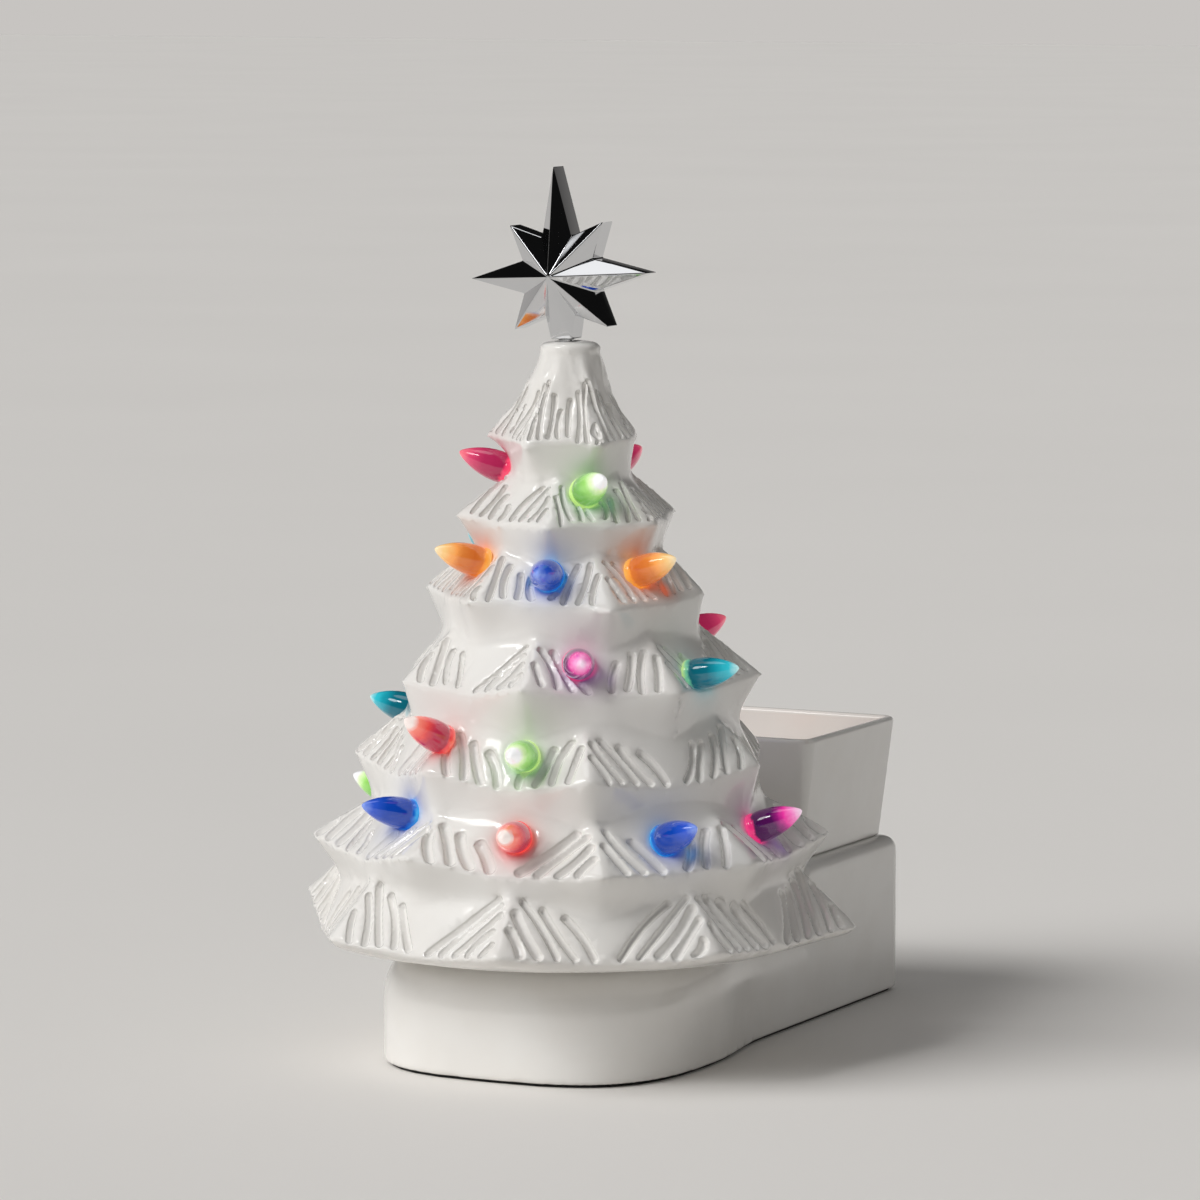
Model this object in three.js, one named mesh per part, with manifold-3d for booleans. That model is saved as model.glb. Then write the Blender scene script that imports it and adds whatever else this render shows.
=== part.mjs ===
// A lit ceramic tree on a base whose rear block keeps a small dish warm.
// Millimetres, +Z up, front towards -Y. The origin lies on the ground under the tree's axis.
// An azimuth is counted in degrees from the front towards +X.

import * as THREE from 'three';
import { mergeVertices } from 'three/addons/utils/BufferGeometryUtils.js';
import { ConvexGeometry } from 'three/addons/geometries/ConvexGeometry.js';
import Module from 'manifold-3d';

const wasm = await Module();
wasm.setup();

// Clearances
const seatGap = 0.3;
const slideGap = 0.5;
// How far a cutter runs past a face, or a joined piece into one
const overrun = 1;

// Base, cast hollow: a low round front that the tree stands on, and a block behind it
const baseHalfWidth = 51.3;
const baseFront = 58.5;
const baseRear = 152;
const waistHalfWidth = 46.5;
const waistEnd = 45;
const frontFullness = 3;
const rearCorner = 5.8;
const baseWall = 5;
const sideHeight = 20;
const shoulderInset = 9;
const deckHeight = 35;
const blockFront = 77;
const blockHeight = 52;
const blockEdge = 4.5;

// Collar on the deck that keeps the tree in place
const collarHeight = 3;
const collarWall = 3.5;

// Underside
const padThickness = 0.9;
const padInset = 2.2;
const coverThickness = 4;
const bossRadius = 5;
const bossHeight = 16;
const frontBossY = -26;
const rearBossY = 118;
const screwRadius = 1.5;
const screwLength = 11;
const screwHeadRadius = 3;
const screwHeadHeight = 1.8;
// Shares of a screw head: its flat, and the height of its round edge
const headFlat = 0.7;
const headEdge = 0.4;

// Tree, cast hollow: smooth skirts, each under a ring of ridged branches
const treeWall = 4.5;
const neckHeight = 8;
const topRadius = 10.2;
const topEdge = 1.8;
const hemLip = 2.6;
const footOuter = 41;
const footInner = 36.5;
const treeBack = 74;
// Each tier: where its branches spring, where the skirt between them ends, the radius and depth of the
// keels under its tips, the spacing of its grooves, and its branches as azimuth, reach and height of the
// tip, and how far the grooves of their two slopes lean from the ridge, at 0, to the outer edge, at 1.
const tiers = [
  { springHeight: 216, springRadius: 10.9, skirtHeight: 192.5, skirtRadius: 21,
    keelRadius: 18, keelDepth: 14, grooveSpacing: 3,
    branches: [[-71, 27, 194, 0.5, 0.4], [-9, 25, 191.5, 0.7, 0.3], [50, 25, 191.5, 0.4, 0.3],
      [140, 23.5, 193, 0.5, 0.5], [215, 25, 193, 0.4, 0.6]] },
  { springHeight: 183.5, springRadius: 19.5, skirtHeight: 168, skirtRadius: 31.5,
    keelRadius: 27.5, keelDepth: 15, grooveSpacing: 3.4,
    branches: [[-49, 38, 170.5, 0.5, 0.3], [15, 37, 168.5, 0.75, 0.45], [75, 37, 168.5, 0.3, 0.6],
      [135, 36, 170, 0.5, 0.4], [195, 36, 170, 0.4, 0.6], [255, 37, 170, 0.6, 0.4]] },
  { springHeight: 161, springRadius: 29, skirtHeight: 144.5, skirtRadius: 41,
    keelRadius: 39.5, keelDepth: 16, grooveSpacing: 4.2,
    branches: [[-77, 48, 146, 0.5, 0.15], [-17, 47, 145.5, 0.4, 0.3], [43, 47.5, 144.5, 0.45, 0.5],
      [103, 44, 146, 0.4, 0.5], [163, 46, 146, 0.6, 0.3], [223, 47, 146, 0.3, 0.5]] },
  { springHeight: 135.5, springRadius: 41, skirtHeight: 117, skirtRadius: 51.5,
    keelRadius: 51, keelDepth: 17, grooveSpacing: 4.3,
    branches: [[-39, 58, 120, 0.4, 0.5], [12, 58.5, 121.5, 0.85, 0.5], [63, 58.5, 119, 0.4, 0.5],
      [115, 61, 120, 0.4, 0.6], [167, 58, 120, 0.5, 0.3], [218, 58, 120, 0.3, 0.6],
      [270, 57, 119, 0.5, 0.4]] },
  { springHeight: 109, springRadius: 52.5, skirtHeight: 90, skirtRadius: 60,
    keelRadius: 60.5, keelDepth: 17, grooveSpacing: 4.8,
    branches: [[-65, 69, 95, 0.5, 0.15], [-16, 67, 95.5, 0.5, 0.4], [32, 68.5, 94.3, 0.35, 0.5],
      [89, 67, 95, 0.4, 0.2], [140, 66, 95, 0.5, 0.4], [192, 64, 95, 0.3, 0.6],
      [244, 67, 95, 0.4, 0.5]] },
  { springHeight: 82, springRadius: 62.5, skirtHeight: 66, skirtRadius: 73.5,
    keelRadius: 69.5, keelDepth: 16, grooveSpacing: 6,
    branches: [[-58, 82, 70.5, 0.5, 0.2], [-13, 80.5, 71, 0.4, 0.45], [34, 81.5, 67.5, 0.85, 0.6],
      [72, 80, 68, 0.45, 0.4], [113, 82.5, 70.5, 0.3, 0.4], [157, 74, 69, 0.6, 0.4],
      [207, 74, 69, 0.4, 0.6], [255, 80, 69, 0.5, 0.3]] },
  { springHeight: 62, springRadius: 71, skirtHeight: 40.5, skirtRadius: 79,
    keelRadius: 62, keelDepth: 4.2, grooveSpacing: 5.2,
    branches: [[-73, 85.5, 50, 0.3, 0.3], [-31, 88.5, 43, 0.4, 0.5], [12, 88.5, 43.5, 0.9, 0.5],
      [58, 88, 43, 0.8, 0.4], [107, 92, 42, 0.5, 0.4], [151, 78, 44, 0.4, 0.6],
      [199, 76, 44, 0.6, 0.3], [243, 84, 46, 0.4, 0.5]] },
];
const springDip = 1.5;
const branchSink = 0.8;
// Grooves pressed into the slopes: a groove's width as a share of their spacing, its depth, the length of
// its shortest, how far it keeps from the slope's edges, and how nearly the grooves of a slope are parallel
const grooveShare = 0.5;
const grooveDepth = 1.3;
const grooveEnd = 1.5;
const shortestGroove = 8;
const grooveMargin = 1.4;
const parallelShare = 0.65;
const skirtSteps = 30;
const wallSteps = 24;

// Light bulbs pushed into the tree
const bulbRadius = 5;
const bulbLength = 17.5;
const bulbRing = 2.2;
const bulbPegRadius = 1.9;
const bulbPeg = 6.5;
const bulbSink = 1.2;
// Flame shape above the ring, as shares of the radius and the length
const bulbFlame = [[0.85, 0.58], [0.45, 0.86]];
const glassColours = {
  pink: 0xff3d6e, green: 0xa8f070, orange: 0xff9a3c, blue: 0x1f5bd8, magenta: 0xe0209c, teal: 0x1fa8b8,
  red: 0xff4a4a,
};
// Each bulb: colour, azimuth and height of its seat, azimuth that it points to, and rise in degrees.
const bulbs = [
  ['pink', -68, 183.5, -70, 20], ['green', 39, 178.5, 49, 20], ['pink', 165, 183.5, 165, 18],
  ['blue', 222, 184, 222, 18],
  ['orange', -36, 156, -43, 18], ['blue', 15, 154, 15, 8], ['orange', 66, 154, 78, 20],
  ['green', 172, 157, 172, 15], ['red', 212, 157, 212, 15], ['teal', 252, 157, 252, 15],
  ['magenta', 30, 128, 30, 8], ['teal', 78, 123, 92, 11], ['pink', 149, 129, 149, 18],
  ['orange', 192, 130, 192, 15], ['green', 238, 130, 238, 15],
  ['teal', -84, 105.5, -84, 15], ['red', -17, 104.5, -24, 27], ['green', 12, 101, 12, 8],
  ['blue', 158, 106, 158, 15], ['magenta', 196, 106, 196, 15], ['orange', 232, 105, 232, 15],
  ['green', -91, 78, -91, 18], ['blue', -28, 80.5, -37, 14], ['red', 12, 77.5, 12, 8],
  ['blue', 53, 76, 66, 20], ['magenta', 88, 75.5, 98, 23], ['teal', 236, 80, 236, 15],
];

// Star
const starHeight = 19.6;
const starLean = 3;
const starOffset = 1.3;
const starBand = 7;
const starRidge = 7.5;
const starTop = 34;
const starSide = 30.6;
const starDiagonal = 23;
const starValley = 13.2;
const stemHalfWidth = 3.6;
const starPegRadius = 2.4;
const starPeg = 13;

// Lamp under the tree
const lampHoleRadius = 12;
const holderFlangeRadius = 16;
const holderFlange = 2;
const holderRadius = 11;
const holderDepth = 19;
const holderCupHeight = 9;
const holderCupRadius = 10;
const clipThickness = 2.7;
const capRadius = 6;
const capLength = 8;
const capTaper = 2;
const lampRadius = 11;
const lampLength = 38;
const lampNeck = 3;
// Outline of the lamp above its neck, as shares of the radius and the length
const lampOutline = [[0.92, 0.28], [1, 0.45], [0.85, 0.68], [0.45, 0.9]];

// Warmer under the dish
const plateRadius = 30;
const plateFlange = 2;
const plateBossRadius = 27;
const heaterRadius = 18;
const heaterThickness = 2;
const insulatorThickness = 2.2;
const cupWall = 1.5;
const cupFlangeRadius = 29.3;
const cupScrewRing = 24.3;
const cupScrewRadius = 1.4;
const cupScrewHead = 2.4;
const cupScrewHeadHeight = 1.7;
const fuseRadius = 2;
const fuseLength = 12;

// Dish
const rimHalfWidth = 46;
const rimFront = 79;
const rimRear = 150.5;
const dishHeight = 39.8;
const dishTaper = 4.8;
const dishWall = 3.4;
const dishFloor = 4.5;
const dishCorner = 5.6;
const tightCorner = 1;
const dishEdge = 1;
const dishBend = 3;

// Rear wall: rocker switch and cord entry
const switchX = 22;
const switchHeight = 26;
const switchHalfWidth = 9.2;
const switchHalfHeight = 7;
const switchRim = 1.6;
const switchFlange = 2;
const switchDepth = 15;
const switchBezel = 1.5;
const switchBack = 6;
const rockerHalfWidth = 6.4;
const rockerHalfHeight = 4.4;
const rockerFace = 1.2;
const rockerBack = 3;
const rockerBackHalfHeight = 2.2;
const rockerTilt = 8;
const rockerPivotDepth = 3;
const entryX = -22;
const entryHeight = 16;
const entryRadius = 4;
const entryFlangeRadius = 6;
const entryFlange = 1.6;
const entryBore = 2.1;
const entryThread = 6;
const nutRadius = 7.4;
const nutThickness = 3.7;

// Wiring
const terminalSize = [22, 14, 11];
const terminalY = 52;
const leadRadius = 1.6;
const leadBend = 8;

// Sides of turned pieces, by how large they are
const largeSides = 40;
const middleSides = 24;
const smallSides = 16;
const tinySides = 12;
const bulbSides = 8;

const materials = {
  glaze: new THREE.MeshStandardMaterial({ color: 0xe9e6e1, roughness: 0.18, metalness: 0 }),
  chrome: new THREE.MeshStandardMaterial({ color: 0xd8d8da, roughness: 0.06, metalness: 1 }),
  steel: new THREE.MeshStandardMaterial({ color: 0xa9abad, roughness: 0.35, metalness: 1 }),
  brass: new THREE.MeshStandardMaterial({ color: 0xc9a55a, roughness: 0.35, metalness: 1 }),
  aluminium: new THREE.MeshStandardMaterial({ color: 0xb9bcc0, roughness: 0.4, metalness: 1 }),
  blackPlastic: new THREE.MeshStandardMaterial({ color: 0x1c1c1e, roughness: 0.5, metalness: 0 }),
  whitePlastic: new THREE.MeshStandardMaterial({ color: 0xe4e2dc, roughness: 0.45, metalness: 0 }),
  rubber: new THREE.MeshStandardMaterial({ color: 0x2a2a2a, roughness: 0.85, metalness: 0 }),
  mica: new THREE.MeshStandardMaterial({ color: 0x9a8f7a, roughness: 0.6, metalness: 0 }),
  lampGlass: new THREE.MeshStandardMaterial({ color: 0xfff4dc, roughness: 0.15, metalness: 0 }),
};

const part = new THREE.Group();

// A closed geometry as a solid that can be cut and joined
function solid(geometry) {
  const plain = geometry.clone();
  plain.deleteAttribute('normal');
  plain.deleteAttribute('uv');
  const merged = mergeVertices(plain, 1e-4);
  const vertProperties = new Float32Array(merged.attributes.position.array);
  const triVerts = new Uint32Array(merged.index.array);
  return new wasm.Manifold(new wasm.Mesh({ numProp: 3, vertProperties, triVerts }));
}

function geometryOf(manifold) {
  const mesh = manifold.getMesh();
  const geometry = new THREE.BufferGeometry();
  geometry.setAttribute('position', new THREE.BufferAttribute(new Float32Array(mesh.vertProperties), 3));
  geometry.setIndex(new THREE.BufferAttribute(new Uint32Array(mesh.triVerts), 1));
  geometry.computeVertexNormals();
  return geometry;
}

function addNode(name, geometry, material, parent = part) {
  const mesh = new THREE.Mesh(geometry, material);
  mesh.name = name;
  parent.add(mesh);
  return mesh;
}

// Direction of an azimuth in degrees, level, as a point at a radius and height
function around(azimuth, radius, height) {
  const angle = THREE.MathUtils.degToRad(azimuth);
  return new THREE.Vector3(radius * Math.sin(angle), -radius * Math.cos(angle), height);
}

// Revolved solid about +Z from points of radius and height
function turned(points, steps) {
  const profile = points.map(([radius, height]) => new THREE.Vector2(radius, height));
  return new THREE.LatheGeometry(profile, steps).rotateX(Math.PI / 2);
}

function cylinder(radius, bottom, top, x = 0, y = 0, steps = middleSides) {
  const geometry = new THREE.CylinderGeometry(radius, radius, top - bottom, steps).rotateX(Math.PI / 2);
  return geometry.translate(x, y, (top + bottom) / 2);
}

function box(x0, x1, y0, y1, z0, z1) {
  const geometry = new THREE.BoxGeometry(x1 - x0, y1 - y0, z1 - z0);
  return geometry.translate((x0 + x1) / 2, (y0 + y1) / 2, (z0 + z1) / 2);
}

// Solid through rings of equally many points, closed by its first and last ring
function loft(rings) {
  const count = rings[0].length;
  const positions = rings.flat().flatMap((point) => [point.x, point.y, point.z]);
  const index = [];
  for (let ring = 0; ring + 1 < rings.length; ring += 1) {
    for (let i = 0; i < count; i += 1) {
      const a = ring * count + i;
      const b = ring * count + (i + 1) % count;
      index.push(a, b, b + count, a, b + count, a + count);
    }
  }
  const caps = [[0, true], [rings.length - 1, false]];
  for (const [ring, facesDown] of caps) {
    const flat = rings[ring].map((point) => new THREE.Vector2(point.x, point.y));
    for (const face of THREE.ShapeUtils.triangulateShape(flat, [])) {
      const [a, b, c] = face.map((i) => ring * count + i);
      index.push(...(facesDown ? [a, c, b] : [a, b, c]));
    }
  }
  const geometry = new THREE.BufferGeometry();
  geometry.setAttribute('position', new THREE.Float32BufferAttribute(positions, 3));
  geometry.setIndex(index);
  return geometry;
}

function atHeight(outline, height) {
  return outline.map((point) => new THREE.Vector3(point.x, point.y, height));
}

// Outline moved inwards by a distance; its points run anticlockwise
function inset(outline, distance) {
  return outline.map((point, i) => {
    const before = outline[(i + outline.length - 1) % outline.length];
    const after = outline[(i + 1) % outline.length];
    const inA = new THREE.Vector2(before.y - point.y, point.x - before.x).normalize();
    const inB = new THREE.Vector2(point.y - after.y, after.x - point.x).normalize();
    const middle = inA.clone().add(inB).normalize();
    return point.clone().addScaledVector(middle, distance / middle.dot(inA));
  });
}

// Plan of the low part's +X side, from beside the front point to the end of the waist
function sideCurve() {
  const points = [];
  for (let step = 1; step <= 7; step += 1) {
    const angle = (step / 8) * (Math.PI / 2);
    const x = baseHalfWidth * Math.sin(angle) ** (2 / frontFullness);
    points.push(new THREE.Vector2(x, -baseFront * Math.cos(angle) ** (2 / frontFullness)));
  }
  for (let step = 0; step <= 4; step += 1) {
    const share = step / 4;
    const x = THREE.MathUtils.lerp(baseHalfWidth, waistHalfWidth, share * share * (3 - 2 * share));
    points.push(new THREE.Vector2(x, share * waistEnd));
  }
  return points;
}

// Rounded rear corner on the +X side, for the outside or for the inside of a wall
function cornerCurve(wall = 0) {
  const points = [];
  const radius = rearCorner - wall;
  for (let step = 0; step <= 3; step += 1) {
    const angle = (step / 3) * (Math.PI / 2);
    const y = baseRear - wall - radius * (1 - Math.sin(angle));
    points.push(new THREE.Vector2(waistHalfWidth - wall - radius * (1 - Math.cos(angle)), y));
  }
  return points;
}

function mirrored(right, front = []) {
  return [...front, ...right, ...right.map((point) => new THREE.Vector2(-point.x, point.y)).reverse()];
}

function blockPlan(front, wall = 0) {
  return mirrored([new THREE.Vector2(waistHalfWidth - wall, front), ...cornerCurve(wall)]);
}

// Slab with upright sides and a rounded top edge
function roundedSlab(plan, bottom, top, edgeInset, edgeDrop) {
  const rings = [atHeight(plan, bottom)];
  for (let step = 0; step <= 4; step += 1) {
    const angle = (step / 4) * (Math.PI / 2);
    const distance = edgeInset * (1 - Math.cos(angle));
    rings.push(atHeight(inset(plan, distance), top - edgeDrop * (1 - Math.sin(angle))));
  }
  return loft(rings);
}

// Places that several pieces share
const treeTop = tiers[0].springHeight + neckHeight;
const frontPoint = new THREE.Vector2(0, -baseFront);
const wholePlan = mirrored([...sideCurve(), ...cornerCurve()], [frontPoint]);
const lowRear = blockFront + 2 * (baseWall + shoulderInset);
const lowPlan = mirrored([...sideCurve(), new THREE.Vector2(waistHalfWidth, lowRear)], [frontPoint]);
const coverTop = padThickness + coverThickness;
const screwSpots = [];
for (const side of [-1, 1]) {
  screwSpots.push([side * (baseHalfWidth - baseWall - bossRadius - 1), frontBossY]);
  screwSpots.push([side * (waistHalfWidth - baseWall - bossRadius + 1), rearBossY]);
}
const deckUnderside = deckHeight - baseWall;
const blockCeiling = blockHeight - baseWall;
const blockInside = (rearCorner - baseWall) / 2;
const dishX = 0;
const dishY = (rimFront + rimRear) / 2;
const plateHole = plateBossRadius + slideGap;
const cupTop = blockCeiling - seatGap;
const heaterTop = blockCeiling - seatGap;
const insulatorTop = heaterTop - heaterThickness;
const cupFloorTop = insulatorTop - insulatorThickness;
const cupBottom = cupFloorTop - cupWall;
const rearInside = baseRear - baseWall;
const cupScrewSpots = [0, 120, 240].map((azimuth) => around(azimuth, cupScrewRing, 0).toArray());
const wireDeck = coverTop + terminalSize[2] / 2;

function makeBaseShell() {
  const shoulderDrop = deckHeight - sideHeight;
  let shell = solid(roundedSlab(lowPlan, padThickness, deckHeight, shoulderInset, shoulderDrop));
  const block = roundedSlab(blockPlan(blockFront), padThickness, blockHeight, blockEdge, blockEdge);
  shell = shell.add(solid(block));
  const collarInner = footInner - slideGap - collarWall;
  shell = shell.add(solid(turned([
    [collarInner, deckHeight - overrun], [footInner - slideGap, deckHeight - overrun],
    [footInner - slideGap, deckHeight + collarHeight], [collarInner, deckHeight + collarHeight],
    [collarInner, deckHeight - overrun],
  ], largeSides)));
  const lowHollow = roundedSlab(inset(lowPlan, baseWall), 0, deckUnderside, shoulderInset, shoulderDrop);
  const blockHollow = roundedSlab(
    blockPlan(blockFront + baseWall, baseWall), 0, blockCeiling, blockInside, blockInside,
  );
  shell = shell.subtract(solid(lowHollow)).subtract(solid(blockHollow));
  for (const [x, y] of screwSpots) {
    shell = shell.add(solid(cylinder(bossRadius, coverTop, coverTop + bossHeight, x, y, smallSides)));
    const holeTop = padThickness + screwHeadHeight + screwLength + overrun;
    const hole = cylinder(screwRadius + seatGap, 0, holeTop, x, y, tinySides);
    shell = shell.subtract(solid(hole));
  }
  shell = shell.subtract(solid(cylinder(lampHoleRadius, 0, deckHeight + overrun)));
  const seatBottom = blockHeight - plateFlange;
  const seatTop = blockHeight + overrun;
  const plateSeat = cylinder(plateRadius + seatGap, seatBottom, seatTop, dishX, dishY, largeSides);
  shell = shell.subtract(solid(plateSeat));
  shell = shell.subtract(solid(cylinder(plateHole, 0, blockHeight, dishX, dishY, largeSides)));
  const rearHole = [rearInside - overrun, baseRear + overrun];
  shell = shell.subtract(solid(box(
    switchX - switchHalfWidth - seatGap, switchX + switchHalfWidth + seatGap, ...rearHole,
    switchHeight - switchHalfHeight - seatGap, switchHeight + switchHalfHeight + seatGap,
  )));
  const entryHole = rearCylinder(entryRadius + seatGap, ...rearHole, entryX, entryHeight, smallSides);
  shell = shell.subtract(solid(entryHole));
  return shell;
}

// Cylinder along Y, for what passes through the rear wall
function rearCylinder(radius, front, rear, x, height, steps) {
  const geometry = new THREE.CylinderGeometry(radius, radius, rear - front, steps);
  return geometry.translate(x, (front + rear) / 2, height);
}

function makeBottomCover() {
  let cover = solid(loft([
    atHeight(inset(wholePlan, baseWall + slideGap), padThickness),
    atHeight(inset(wholePlan, baseWall + slideGap), coverTop),
  ]));
  for (const [x, y] of screwSpots) {
    const headTop = padThickness + screwHeadHeight;
    cover = cover.subtract(solid(cylinder(screwHeadRadius + seatGap, 0, headTop, x, y, smallSides)));
    cover = cover.subtract(solid(cylinder(screwRadius + seatGap, 0, coverTop + overrun, x, y, tinySides)));
  }
  return cover;
}

function makePad() {
  const plan = inset(wholePlan, padInset);
  let pad = solid(loft([atHeight(plan, 0), atHeight(plan, padThickness)]));
  for (const [x, y] of screwSpots) {
    const hole = cylinder(screwHeadRadius + slideGap, -overrun, padThickness + overrun, x, y, smallSides);
    pad = pad.subtract(solid(hole));
  }
  return pad;
}

// Pan head screw standing on its head, with the head's underside at height 0 and the shank above it
function screwShape(headRadius, headHeight, radius, length) {
  return turned([
    [0, -headHeight], [headRadius * headFlat, -headHeight], [headRadius, -headHeight * headEdge],
    [headRadius, 0], [radius, 0], [radius, length], [0, length],
  ], tinySides);
}

function addUnderside() {
  addNode('base_shell', geometryOf(makeBaseShell()), materials.glaze);
  addNode('bottom_cover', geometryOf(makeBottomCover()), materials.whitePlastic);
  addNode('foot_pad', geometryOf(makePad()), materials.rubber);
  screwSpots.forEach(([x, y], i) => {
    const screw = screwShape(screwHeadRadius, screwHeadHeight - seatGap, screwRadius, screwLength);
    const node = addNode(`cover_screw_${i + 1}`, screw, materials.steel);
    node.position.set(x, y, padThickness + screwHeadHeight - seatGap);
  });
}

// Smooth skirts of the tree, one under each ring of branches; inside, the wall follows them
function skirtProfile(wall) {
  const corner = wall * 1.5;
  const profile = [];
  if (wall === 0) {
    profile.push([0, treeTop], [topRadius - topEdge, treeTop], [topRadius, treeTop - topEdge]);
  } else {
    profile.push([0, tiers[0].springHeight], [topRadius - wall, tiers[0].springHeight]);
  }
  tiers.forEach((tier, i) => {
    const { springRadius, springHeight, skirtRadius, skirtHeight } = tier;
    if (i > 0 || wall === 0) profile.push([springRadius - springDip - wall, springHeight - springDip]);
    profile.push([skirtRadius - corner, skirtHeight]);
    if (wall === 0) profile.push([skirtRadius - springDip, skirtHeight - hemLip]);
  });
  const foot = wall === 0 ? footOuter : footInner;
  profile.push([foot, deckHeight + wall]);
  if (wall === 0) profile.push([foot, deckHeight], [0, deckHeight]);
  else profile.push([foot, deckHeight - overrun], [0, deckHeight - overrun]);
  return profile.reverse();
}

// Corners of a branch's two slopes: its spring, its tip and the outer corner on either side
function slopesOf(tier, i) {
  const { springRadius, springHeight, skirtRadius, skirtHeight, grooveSpacing, branches } = tier;
  const [azimuth, reach, tipHeight, ...leans] = branches[i];
  const after = (branches[(i + 1) % branches.length][0] - azimuth + 360) % 360;
  const before = (azimuth - branches[(i + branches.length - 1) % branches.length][0] + 360) % 360;
  const half = Math.min(after, before) / 2;
  return [-1, 1].map((side, n) => ({
    spring: around(azimuth, springRadius, springHeight),
    tip: around(azimuth, reach, tipHeight),
    corner: around(azimuth + side * half, skirtRadius - branchSink, skirtHeight + branchSink / 2),
    spacing: grooveSpacing,
    lean: leans[n],
  }));
}

// One branch: a ridge from its spring to its tip between two grooved slopes, and a keel below
function branchShape(tier, i) {
  const { springRadius, springHeight, keelRadius, keelDepth, branches } = tier;
  const [azimuth, reach, tip] = branches[i];
  const core = Math.min(springRadius, keelRadius) - treeWall;
  const slopes = slopesOf(tier, i);
  const points = [
    slopes[0].spring,
    slopes[0].tip,
    around(azimuth, reach - springDip, tip - hemLip),
    around(azimuth, keelRadius, tip - keelDepth),
    around(azimuth, core, springHeight - treeWall),
    around(azimuth, core, tip - keelDepth),
  ];
  for (const { corner } of slopes) {
    const radius = Math.hypot(corner.x, corner.y);
    const shrink = (radius - springDip) / radius;
    points.push(corner, new THREE.Vector3(corner.x * shrink, corner.y * shrink, corner.z - hemLip));
  }
  return new ConvexGeometry(points);
}

function makeTreeOutside() {
  let tree = solid(turned(skirtProfile(0), skirtSteps));
  for (const tier of tiers) {
    tier.branches.forEach((branch, i) => {
      tree = tree.add(solid(branchShape(tier, i)));
    });
  }
  const far = 2 * baseRear;
  return tree.subtract(solid(box(-far, far, treeBack, far, 0, treeTop)));
}

// Shares that seem to follow no order, one for each number
function chance(number) {
  return (number * 0.618034) % 1;
}

// Lower and upper end of each groove of a slope: strokes from near its hem to near its upper edges
function grooveLines(slope, number) {
  const { spring, tip, corner, spacing, lean } = slope;
  const count = Math.floor(tip.distanceTo(corner) / spacing);
  const lines = [];
  for (let i = 0; i < count; i += 1) {
    const place = (i + 0.5) / count;
    const share = THREE.MathUtils.lerp(place, lean, parallelShare);
    const start = tip.clone().lerp(corner, place);
    const rise = spring.clone().sub(tip.clone().lerp(corner, share));
    const length = rise.length() * Math.min((1 - place) / (1 - share), place / share);
    rise.normalize();
    const low = grooveMargin * (1 + chance(7 * number + 3 * i));
    const high = length - grooveMargin * (1 + 2 * chance(5 * number + 2 * i));
    lines.push([start.clone().addScaledVector(rise, low), start.clone().addScaledVector(rise, high)]);
  }
  return lines;
}

// Cutter of one groove: a wedge whose floor rises at both ends
function grooveCutter(slope, low, high) {
  const { spring, tip, corner, spacing } = slope;
  const normal = tip.clone().sub(spring).cross(corner.clone().sub(spring)).normalize();
  if (normal.dot(new THREE.Vector3(tip.x, tip.y, 0)) < 0) normal.negate();
  const along = high.clone().sub(low).normalize();
  const half = (grooveShare * spacing) / 2 * (1 + overrun / grooveDepth);
  const across = normal.clone().cross(along).multiplyScalar(half);
  const points = [
    low.clone().addScaledVector(along, grooveEnd).addScaledVector(normal, -grooveDepth),
    high.clone().addScaledVector(along, -grooveEnd).addScaledVector(normal, -grooveDepth),
  ];
  for (const end of [low, high]) {
    const raised = end.clone().addScaledVector(normal, overrun);
    points.push(raised.clone().add(across), raised.clone().sub(across));
  }
  return solid(new ConvexGeometry(points));
}

function grooveCutters() {
  const slopes = tiers.flatMap((tier) => tier.branches.flatMap((branch, i) => slopesOf(tier, i)));
  return slopes.flatMap((slope, number) => {
    const lines = grooveLines(slope, number).filter(([low, high]) => low.distanceTo(high) > shortestGroove);
    return lines.map(([low, high]) => grooveCutter(slope, low, high));
  });
}

function makeTreeShell(outside, seats) {
  const far = 2 * baseRear;
  let inside = solid(turned(skirtProfile(treeWall), wallSteps));
  inside = inside.subtract(solid(box(-far, far, treeBack - treeWall, far, 0, treeTop)));
  let tree = outside.subtract(inside).subtract(wasm.Manifold.union(grooveCutters()));
  const pegHole = bulbPegRadius + seatGap;
  const ringHole = bulbRadius + slideGap;
  for (const seat of seats) {
    const socket = turned([
      [0, -bulbPeg - treeWall], [pegHole, -bulbPeg - treeWall], [pegHole, -seatGap], [ringHole, -seatGap],
      [ringHole, bulbLength / 2], [0, bulbLength + slideGap],
    ], bulbSides);
    tree = tree.subtract(solid(socket.applyMatrix4(seat)));
  }
  const starHole = cylinder(starPegRadius + seatGap, -starPeg - treeWall, starPeg, 0, 0, smallSides);
  return tree.subtract(solid(starHole.applyMatrix4(starPlace())));
}

// Where each bulb sits: its axis points out of the tree's surface at the chosen azimuth and height
function bulbSeats(outside) {
  const bothSides = new THREE.MeshBasicMaterial({ side: THREE.DoubleSide });
  const surface = new THREE.Mesh(geometryOf(outside), bothSides);
  return bulbs.map(([, azimuth, height, aim, rise]) => {
    const far = around(azimuth, 2 * baseRear, height);
    const inwards = around(azimuth, -1, 0);
    const hit = new THREE.Raycaster(far, inwards).intersectObject(surface)[0].point;
    const tilt = THREE.MathUtils.degToRad(rise);
    const axis = around(aim, Math.cos(tilt), Math.sin(tilt));
    const turn = new THREE.Quaternion().setFromUnitVectors(new THREE.Vector3(0, 0, 1), axis);
    const place = hit.addScaledVector(axis, -bulbSink);
    return new THREE.Matrix4().compose(place, turn, new THREE.Vector3(1, 1, 1));
  });
}

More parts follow.
